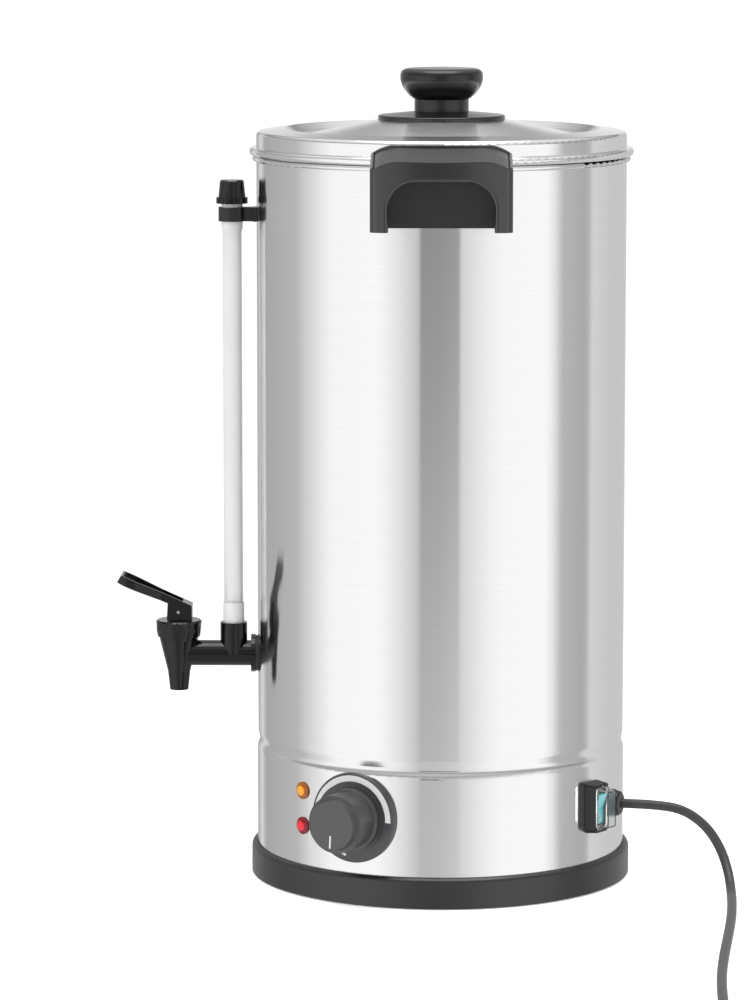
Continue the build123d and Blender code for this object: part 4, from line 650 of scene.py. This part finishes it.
# Brightness of the studio's walls round the urn, by angle from its front:
# two tall softboxes left and right of the camera, grey flats between them.
WALL_BANDS = [
    (-180, 0.90), (-166, 0.42), (-152, 0.80), (-143, 0.46), (-102, 0.58), (-93, 0.77), (-84, 0.93),
    (-72, 1.16), (-40, 1.20), (-30, 1.04), (-23, 0.90), (-13, 0.65), (0, 0.69), (11, 0.79), (20, 0.94),
    (29, 1.08), (38, 1.18), (68, 1.20), (74, 1.00), (81, 0.58), (100, 0.50), (104, 0.56), (108, 0.80),
    (130, 0.70), (168, 0.63), (180, 0.90)]
# Brightness above the walls, by the sine of the elevation
CEILING_BANDS = [
    (0.0, 0.9), (0.20, 0.85), (0.28, 0.32), (0.36, 0.36), (0.44, 0.50), (0.58, 0.66), (0.72, 0.95),
    (1.0, 1.05)]
CEILING_BLEND = (0.15, 0.30)       # sines of the elevation between which walls turn into ceiling
CAMERA_FLAT = (-13.0, 11.5)        # angles of the dark flat behind the camera
FLAT_TONE = 0.36                   # the flat's tone, against the wall behind it
FLAT_LOWER_EDGE = (-0.176, -0.093)     # sines of the elevation between which it starts
FLAT_UPPER_EDGE = (0.04, 0.16)         # and between which it ends
DIFFUSE_GAIN = 0.6                 # how much brighter the walls light than they mirror
FLOOR_FADE = (0.35, 1.1)           # metres from the urn between which the floor turns pure white
FLOOR_GLOW = 0.30                  # light that the pale floor gives back near the urn
TOP_SOFTBOX = {"place": (0.0, -0.2, 2.3), "target": (0, 0, 0.3), "size": (1.8, 1.4)}
FRONT_SOFTBOX = {"place": (-1.5, -1.9, 1.5), "target": (0, 0, 0.4), "size": (0.5, 0.9)}


def fill_ramp(ramp, stops):
    """Set a colour ramp's grey stops."""
    elements = ramp.color_ramp.elements
    while len(elements) < len(stops):
        elements.new(0.5)
    for element, (position, tone) in zip(elements, stops):
        element.position = position
        element.color = (tone, tone, tone, 1)


def camera_flat(tree, angle, rise):
    """Share of the walls' brightness that the dark flat behind the camera leaves."""
    start, end = CAMERA_FLAT
    after = math_node(tree, "GREATER_THAN", angle, radians(start))
    before = math_node(tree, "LESS_THAN", angle, radians(end))
    across = math_node(tree, "MULTIPLY", after, before)
    inside = math_node(tree, "MULTIPLY", across, map_range(tree, rise, *FLAT_UPPER_EDGE, 1.0, 0.0))
    depth = map_range(tree, rise, *FLAT_LOWER_EDGE, 0.0, 1.0 - FLAT_TONE)
    return math_node(tree, "SUBTRACT", 1.0, math_node(tree, "MULTIPLY", inside, depth))


def studio_world(settings):
    """World whose walls light and mirror in the steel, and look white to the camera and through glass."""
    world = bpy.data.worlds.new("Studio Walls")
    world.use_nodes = True
    tree = world.node_tree
    tree.nodes.clear()
    direction = add_node(tree, "ShaderNodeTexCoord").outputs["Generated"]
    parts = add_node(tree, "ShaderNodeSeparateXYZ", {0: direction})
    rise = parts.outputs["Z"]
    forward = math_node(tree, "MULTIPLY", parts.outputs["Y"], -1.0)
    angle = math_node(tree, "ARCTAN2", parts.outputs["X"], forward)
    turn = math_node(tree, "ADD", math_node(tree, "MULTIPLY", angle, 1 / (2 * pi)), 0.5)
    ring = add_node(tree, "ShaderNodeValToRGB", {"Fac": turn})
    fill_ramp(ring, [((around + 180) / 360, tone) for around, tone in WALL_BANDS])
    walls = add_node(
        tree, "ShaderNodeVectorMath",
        {0: ring.outputs["Color"], "Scale": camera_flat(tree, angle, rise)}, operation="SCALE")
    ceiling = add_node(tree, "ShaderNodeValToRGB", {"Fac": rise})
    fill_ramp(ceiling, CEILING_BANDS)
    room = blend_colours(
        tree, map_range(tree, rise, *CEILING_BLEND), walls.outputs["Vector"], ceiling.outputs["Color"])
    path = add_node(tree, "ShaderNodeLightPath")
    gain = math_node(tree, "MULTIPLY", path.outputs["Is Diffuse Ray"], DIFFUSE_GAIN)
    soft = math_node(tree, "ADD", gain, 1.0)
    lit = add_node(tree, "ShaderNodeVectorMath", {0: room, "Scale": soft}, operation="SCALE")
    white = settings.backdrop
    through = math_node(tree, "MAXIMUM", path.outputs["Is Camera Ray"], path.outputs["Is Transmission Ray"])
    final = blend_colours(tree, through, lit.outputs["Vector"], (white, white, white, 1))
    background = add_node(tree, "ShaderNodeBackground", {"Color": final, "Strength": 1.0})
    output = tree.nodes.new("ShaderNodeOutputWorld")
    tree.links.new(background.outputs["Background"], output.inputs["Surface"])
    bpy.context.scene.world = world


def studio_floor(settings):
    """Pale floor that the steel doesn't mirror and that fades into the backdrop."""
    half = settings.floor_size / 2
    mesh = bpy.data.meshes.new("studio_floor")
    corners = [(-half, -half, 0), (half, -half, 0), (half, half, 0), (-half, half, 0)]
    mesh.from_pydata(corners, [], [(0, 1, 2, 3)])
    floor = bpy.data.objects.new("studio_floor", mesh)
    bpy.context.scene.collection.objects.link(floor)
    material, tree, shader = new_material("Pale Floor")
    marks = use_group(tree, wear_group(), size=3.0, spread=0.4)
    shade = blend_colours(tree, marks, (0.90, 0.90, 0.90, 1), (0.92, 0.92, 0.92, 1))
    tree.links.new(shade, shader.inputs["Base Color"])
    shader.inputs["Roughness"].default_value = 0.9
    shader.inputs["Specular IOR Level"].default_value = 0.1
    place = add_node(tree, "ShaderNodeTexCoord").outputs["Object"]
    away = add_node(tree, "ShaderNodeVectorMath", {0: place}, operation="LENGTH").outputs["Value"]
    fade = map_range(tree, away, *FLOOR_FADE, interpolation_type="SMOOTHSTEP")
    glow = add_node(tree, "ShaderNodeEmission", {"Strength": settings.backdrop})
    mixed = add_node(
        tree, "ShaderNodeMixShader",
        {0: fade, 1: shader.outputs["BSDF"], 2: glow.outputs["Emission"]})
    output = next(node for node in tree.nodes if node.type == "OUTPUT_MATERIAL")
    tree.links.new(mixed.outputs["Shader"], output.inputs["Surface"])
    shader.inputs["Emission Color"].default_value = (1, 1, 1, 1)
    shader.inputs["Emission Strength"].default_value = FLOOR_GLOW
    mesh.materials.append(material)
    floor.visible_glossy = False


def area_light(name, place, target, size, power):
    """Soft rectangular light aimed at a point."""
    data = bpy.data.lights.new(name, "AREA")
    data.shape = "RECTANGLE"
    data.size, data.size_y = size
    data.energy = power
    light = bpy.data.objects.new(name, data)
    light.location = place
    light.rotation_euler = (Vector(target) - Vector(place)).to_track_quat("-Z", "Y").to_euler()
    bpy.context.scene.collection.objects.link(light)
    return light


def studio_camera():
    """Camera at the viewing angle, without shift."""
    yaw, pitch = radians(CAMERA_YAW), radians(CAMERA_PITCH)
    aim = Vector((sin(yaw) * cos(pitch), cos(yaw) * cos(pitch), -sin(pitch)))
    data = bpy.data.cameras.new("studio_camera")
    data.lens = CAMERA_LENS
    data.sensor_width = CAMERA_FRAME
    camera = bpy.data.objects.new("studio_camera", data)
    camera.location = CAMERA_PLACE
    camera.rotation_euler = aim.to_track_quat("-Z", "Y").to_euler()
    bpy.context.scene.collection.objects.link(camera)
    bpy.context.scene.camera = camera


class URN_OT_stage(bpy.types.Operator):
    """Make the camera, the pale floor and the studio light"""
    bl_idname = "urn.stage"
    bl_label = "Studio"

    def execute(self, context):
        settings = context.scene.urn_studio
        studio_camera()
        studio_world(settings)
        studio_floor(settings)
        area_light("top_softbox", power=settings.top_light, **TOP_SOFTBOX)
        front = area_light("front_softbox", power=settings.side_light, **FRONT_SOFTBOX)
        front.visible_glossy = False     # the walls already mirror there
        context.scene.view_settings.view_transform = "Standard"
        return {"FINISHED"}


# ================================================================ mains lead
CORD_EXIT = (0.1174, -0.0498, 0.0580)
CORD_ROUTE = [
    CORD_EXIT, (0.1298, -0.0551, 0.0582), (0.1455, -0.0588, 0.0584), (0.1669, -0.0600, 0.0559),
    (0.1835, -0.0600, 0.0442), (0.1936, -0.0640, 0.0293), (0.1986, -0.0750, 0.0144),
    (0.1996, -0.0930, 0.0036), (0.1982, -0.1220, 0.0036), (0.1950, -0.1660, 0.0036),
    (0.1898, -0.2160, 0.0036), (0.1840, -0.2680, 0.0036), (0.1789, -0.3220, 0.0036),
    (0.1759, -0.3760, 0.0036), (0.1748, -0.4300, 0.0036), (0.1744, -0.4772, 0.0036)]
COIL_MIDDLE = (0.1317, -0.5020)
COIL_LOW, COIL_HIGH = 0.0036, 0.0101       # heights of its two layers
CLIMB_TURN = 0.25          # share of a turn in which the lead climbs to the upper layer
LEAD_END = [(0.1205, -0.5463, 0.0066), (0.1110, -0.5477, 0.0056), (0.1060, -0.5483, 0.0073)]


def coil_points(settings):
    """Turns of the coil: inwards on the table, up at the middle, outwards on top."""
    turns = settings.layer_turns
    total = 2 * turns + CLIMB_TURN
    steps = round(total * settings.turn_points)
    points = []
    for step in range(steps + 1):
        done = total * step / steps
        rise = min(max((done - turns) / CLIMB_TURN, 0.0), 1.0)
        inward = min(done, turns) - max(done - turns - CLIMB_TURN, 0.0)
        radius = settings.coil_outer + (settings.coil_inner - settings.coil_outer) * inward / turns
        angle = -2 * pi * done
        points.append((
            COIL_MIDDLE[0] + radius * cos(angle), COIL_MIDDLE[1] + radius * sin(angle),
            COIL_LOW + (COIL_HIGH - COIL_LOW) * rise))
    return points


class URN_OT_cord(bpy.types.Operator):
    """Make the mains lead with its coil and dress its plug"""
    bl_idname = "urn.cord"
    bl_label = "Mains lead"

    def execute(self, context):
        settings = context.scene.urn_cord
        route = CORD_ROUTE + coil_points(settings) + LEAD_END
        curve = bpy.data.curves.new("mains_lead", "CURVE")
        curve.dimensions = "3D"
        curve.bevel_depth = settings.diameter / 2
        curve.bevel_resolution = 5
        curve.resolution_u = 8
        curve.use_fill_caps = True
        spline = curve.splines.new("NURBS")
        spline.points.add(len(route) - 1)
        for point, place in zip(spline.points, route):
            point.co = (*place, 1.0)
        spline.order_u = 3
        spline.use_endpoint_u = True
        lead = bpy.data.objects.new("mains_lead", curve)
        context.scene.collection.objects.link(lead)
        curve.materials.append(finish("cord_black"))
        dress("plug_body", "plug_pins")
        lead.visible_glossy = False      # so that it draws no dark line in the steel
        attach(lead, "urn")
        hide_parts("power_cord", "cord_coil")
        return {"FINISHED"}


# ================================================================ shell, lid, base and handles
class URN_OT_steel(bpy.types.Operator):
    """Brush the shell and the lid and dress the tank floor, bottom plate and lid screw"""
    bl_idname = "urn.steel"
    bl_label = "Shell and lid"

    def execute(self, context):
        dress("outer_shell", "lid_pan", "tank_floor", "bottom_plate", "lid_screw")
        return {"FINISHED"}


class URN_OT_plastics(bpy.types.Operator):
    """Dress the base ring, foot, handles and lid knob"""
    bl_idname = "urn.plastics"
    bl_label = "Base, handles and knob"

    def execute(self, context):
        dress("base_ring", "foot_ring", "base_screws", "handle_front", "handle_rear", "handle_washers",
              "handle_screws")
        dress("lid_knob", "knob_crown", "lid_knob_plate", finish_name="knob_black")
        return {"FINISHED"}


# ================================================================ tap and gauge
TAP_AXIS = (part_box("tap_bonnet")[0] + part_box("tap_bonnet")[1]) / 2
GRIP_SIZES = {"Circle Radius": 0.0140, "Rib Radius": 0.0019, "Rib Length": 0.0106, "Facets": 14}


class URN_OT_tap(bpy.types.Operator):
    """Dress the tap and put the grips round its bonnet"""
    bl_idname = "urn.tap"
    bl_label = "Tap"

    def execute(self, context):
        marks = context.scene.urn_marks
        dress("tap_body", "tap_gasket", "tank_gasket", "tap_locknut", "tap_bonnet", "tap_stem", "tap_seat",
              "tap_spring", "tap_lever", "lever_pin")
        place = Matrix.Translation(TAP_AXIS) @ Matrix.Rotation(pi / marks.bonnet_grips, 4, "Z")
        sizes = {"Count": marks.bonnet_grips, "Material": finish("tap_black"), **GRIP_SIZES}
        grips = mesh_from_tree("bonnet_grips", rib_ring_tree(), sizes, place)
        place_piece("bonnet_grips", grips, "tap_black", "urn")
        return {"FINISHED"}


class URN_OT_gauge(bpy.types.Operator):
    """Dress the sight gauge and its cap"""
    bl_idname = "urn.gauge"
    bl_label = "Sight gauge"

    def execute(self, context):
        dress("gauge_tube", "gauge_lower_sleeve", "gauge_upper_sleeve", "gauge_bracket", "bracket_screw",
              "gauge_cap")
        return {"FINISHED"}


# ================================================================ controls
BAND_START, BAND_FULL, BAND_END = 200.0, 125.0, -2.0   # degrees, counted from 3 o'clock
BAND_THIN = 0.15            # band's width at its start, as a share
PRINT_THICKNESS = 0.00012
INDEX_ANGLE = -109.0
INDEX_RADIUS = 0.0262
POINTER_ANGLE = -93.0
POINTER_SPAN = (0.0068, 0.0154)    # line's ends, from the dial's axis
LENS_RADIUS, LENS_HEIGHT = 0.0045, 0.0025
LENS_START = SKIRT_RADIUS + 0.8    # lens's back, in millimetres from the urn's axis


def heat_band(name, settings, place, steps=56):
    """White band on the bezel that widens towards the hot end."""
    outer, inner = [], []
    for step in range(steps + 1):
        angle = BAND_START + (BAND_END - BAND_START) * step / steps
        grown = min((BAND_START - angle) / (BAND_START - BAND_FULL), 1.0)
        width = settings.band_width * (BAND_THIN + (1 - BAND_THIN) * grown)
        turn = radians(angle)
        outer.append((settings.band_radius * cos(turn), settings.band_radius * sin(turn)))
        reach = settings.band_radius - width
        inner.append((reach * cos(turn), reach * sin(turn)))
    build = bmesh.new()
    levels = ((outer, 0.0), (outer, PRINT_THICKNESS), (inner, PRINT_THICKNESS), (inner, 0.0))
    rows = [[build.verts.new((x, y, height)) for x, y in points] for points, height in levels]
    skin_rows(build, rows, closed=False)
    for end in (0, steps):
        build.faces.new([row[end] for row in rows])
    return mesh_from_build(name, build, place)


class URN_OT_thermostat(bpy.types.Operator):
    """Dress the thermostat and print its band, index and pointer"""
    bl_idname = "urn.thermostat"
    bl_label = "Thermostat"

    def execute(self, context):
        marks = context.scene.urn_marks
        dress("thermostat_bezel", "thermostat_body", "thermostat_screws", "thermostat_knob",
              "thermostat_spindle", "capillary_tube", "thermostat_bulb", "bulb_clip")
        bezel = radial_matrix(CONTROL_ANGLE, BEZEL_FACE, CONTROL_HEIGHT)
        band = heat_band("heat_band", marks, bezel)
        place_piece("heat_band", band, "bezel_black", "urn", "print_white")
        reach = Matrix.Translation((INDEX_RADIUS, 0, 0))
        turned = bezel @ Matrix.Rotation(radians(INDEX_ANGLE), 4, "Z") @ reach
        end, wide = marks.index_length / 2, marks.index_width / 2
        triangle = [(0.0, -end), (wide, end), (-wide, end)]
        index = solid_from_outline("bezel_index", triangle, PRINT_THICKNESS, turned)
        place_piece("bezel_index", index, "bezel_black", "urn", "print_white")
        dial = radial_matrix(CONTROL_ANGLE, DIAL_FACE, CONTROL_HEIGHT)
        turned = dial @ Matrix.Rotation(radians(POINTER_ANGLE), 4, "Z")
        half = marks.pointer_width / 2
        start, end = POINTER_SPAN
        line = [(start, -half), (end, -half), (end, half), (start, half)]
        pointer = solid_from_outline("dial_pointer", line, PRINT_THICKNESS, turned)
        place_piece("dial_pointer", pointer, "dial_black", "dial", "print_white")
        return {"FINISHED"}


class URN_OT_lamps(bpy.types.Operator):
    """Dress the pilot lamps and give them faceted lenses"""
    bl_idname = "urn.lamps"
    bl_label = "Pilot lamps"

    def execute(self, context):
        dress("heating_lamp", "power_lamp", "lamp_clips")
        for node, slot_name in (("heating_lamp", "amber_lens"), ("power_lamp", "red_lens")):
            place = radial_matrix(LAMP_ANGLE, LENS_START, LAMP_HEIGHTS[node])
            lens = faceted_dome(node + "_lens", LENS_RADIUS, LENS_HEIGHT, place)
            place_piece(node + "_lens", lens, slot_name, "urn", slot_name.replace("lens", "glow"))
        return {"FINISHED"}


ROCKER_FACE = 3.4           # rocker's hollow face above its axis, in millimetres
ROCKER_RISE = 1.8           # face's rise from the middle to an end
ROCKER_HALF = 10.4          # face's half length
OFF_MARK = 6.4              # mark's distance below the axis
OFF_MARK_RADII = (0.0023, 0.0016)


class URN_OT_switch(bpy.types.Operator):
    """Dress the switch, its rocker and its splash cover"""
    bl_idname = "urn.switch"
    bl_label = "Mains switch"

    def execute(self, context):
        dress("switch_frame", "switch_rocker", "switch_cover")
        slope = ROCKER_RISE / ROCKER_HALF
        place = (
            radial_matrix(SWITCH_ANGLE, ROCKER_AXIS, SWITCH_HEIGHT)
            @ Matrix.Rotation(radians(ROCKER_TILT), 4, "X")
            @ Matrix.Translation((0, -OFF_MARK * MM, (ROCKER_FACE + OFF_MARK * slope) * MM))
            @ Matrix.Rotation(-slope, 4, "X"))
        mark = ring_plate("off_mark", *OFF_MARK_RADII, PRINT_THICKNESS, place)
        place_piece("off_mark", mark, "rocker_green", "rocker", "print_white")
        return {"FINISHED"}


# ================================================================ gland, plug and heater
GLAND_RIBS_MIDDLE = GLAND_NUT_START + 1.8      # in millimetres from the urn's axis
GLAND_RIB_SIZES = {"Circle Radius": 0.0080, "Rib Radius": 0.0011, "Rib Length": 0.0032, "Facets": 10}


class URN_OT_gland(bpy.types.Operator):
    """Dress the cord gland and rib its nut"""
    bl_idname = "urn.gland"
    bl_label = "Cord gland"

    def execute(self, context):
        marks = context.scene.urn_marks
        dress("gland_body", "gland_nut", "gland_locknut", "terminal_block", "earth_stud")
        place = radial_matrix(GLAND_ANGLE, GLAND_RIBS_MIDDLE, GLAND_HEIGHT)
        turned = place @ Matrix.Rotation(pi / marks.gland_ribs, 4, "Z")
        sizes = {"Count": marks.gland_ribs, "Material": finish("switch_black"), **GLAND_RIB_SIZES}
        ribs = mesh_from_tree("gland_ribs", rib_ring_tree(), sizes, turned)
        place_piece("gland_ribs", ribs, "switch_black", "urn")
        return {"FINISHED"}


PLUG_TAIL = LEAD_END[1]
PLUG_HEADING = 187.0
PLUG_PITCH = 18.6
TAIL_RINGS_START = 0.003       # metres from the tail's end
TAIL_RING_SIZES = {"Spacing": 0.0030, "First Radius": 0.0047, "Growth": 0.00018, "Ring Thickness": 0.0007}


class URN_OT_plug(bpy.types.Operator):
    """Put the strain relief's rings on the plug's tail, and keep the plug out of the steel's reflections"""
    bl_idname = "urn.plug"
    bl_label = "Plug"

    def execute(self, context):
        marks = context.scene.urn_marks
        heading, pitch = radians(PLUG_HEADING), radians(PLUG_PITCH)
        along = Vector((cos(heading) * cos(pitch), sin(heading) * cos(pitch), sin(pitch)))
        place = along.to_track_quat("Z", "Y").to_matrix().to_4x4()
        place.translation = Vector(PLUG_TAIL) + along * TAIL_RINGS_START
        sizes = {"Count": marks.tail_rings, "Material": finish("cord_black"), **TAIL_RING_SIZES}
        rings = mesh_from_tree("plug_rings", tail_ring_tree(), sizes, place)
        piece = place_piece("plug_rings", rings, "cord_black", "urn")
        for item in (piece, frame["nodes"]["plug_body"], frame["nodes"]["plug_pins"]):
            item.visible_glossy = False
        return {"FINISHED"}


class URN_OT_heater(bpy.types.Operator):
    """Dress the heater and the pieces under the tank"""
    bl_idname = "urn.heater"
    bl_label = "Heater"

    def execute(self, context):
        dress("heater_plate", "heater_element", "heater_studs", "heater_nuts", "boil_dry_cutout")
        return {"FINISHED"}


class URN_PT_panel(bpy.types.Panel):
    """Lists the urn's pieces and settings in the sidebar"""
    bl_idname = "URN_PT_panel"
    bl_label = "Hot water urn"
    bl_space_type = "VIEW_3D"
    bl_region_type = "UI"
    bl_category = "Urn"

    def draw(self, context):
        layout = self.layout
        for operator in OPERATORS:
            layout.operator(operator.bl_idname)
        scene = context.scene
        for group in (scene.urn_finish, scene.urn_cord, scene.urn_marks, scene.urn_studio):
            box = layout.box()
            for name in group.bl_rna.properties.keys():
                if name not in ("rna_type", "name"):
                    box.prop(group, name)


OPERATORS = (
    URN_OT_stage, URN_OT_cord, URN_OT_steel, URN_OT_plastics, URN_OT_tap, URN_OT_gauge, URN_OT_thermostat,
    URN_OT_lamps, URN_OT_switch, URN_OT_gland, URN_OT_plug, URN_OT_heater)
GROUPS = (UrnFinish, UrnCord, UrnMarks, UrnStudio)


def register():
    """Register the settings, operators and panel."""
    for item in (*GROUPS, *OPERATORS, URN_PT_panel):
        bpy.utils.register_class(item)
    bpy.types.Scene.urn_finish = PointerProperty(type=UrnFinish)
    bpy.types.Scene.urn_cord = PointerProperty(type=UrnCord)
    bpy.types.Scene.urn_marks = PointerProperty(type=UrnMarks)
    bpy.types.Scene.urn_studio = PointerProperty(type=UrnStudio)


def unregister():
    """Remove what register added."""
    for name in ("urn_finish", "urn_cord", "urn_marks", "urn_studio"):
        delattr(bpy.types.Scene, name)
    for item in reversed((*GROUPS, *OPERATORS, URN_PT_panel)):
        bpy.utils.unregister_class(item)


def main():
    """Make every piece."""
    register()
    bpy.ops.urn.stage()
    bpy.ops.urn.cord()
    bpy.ops.urn.steel()
    bpy.ops.urn.plastics()
    bpy.ops.urn.tap()
    bpy.ops.urn.gauge()
    bpy.ops.urn.thermostat()
    bpy.ops.urn.lamps()
    bpy.ops.urn.switch()
    bpy.ops.urn.gland()
    bpy.ops.urn.plug()
    bpy.ops.urn.heater()


if __name__ == "__main__":
    main()
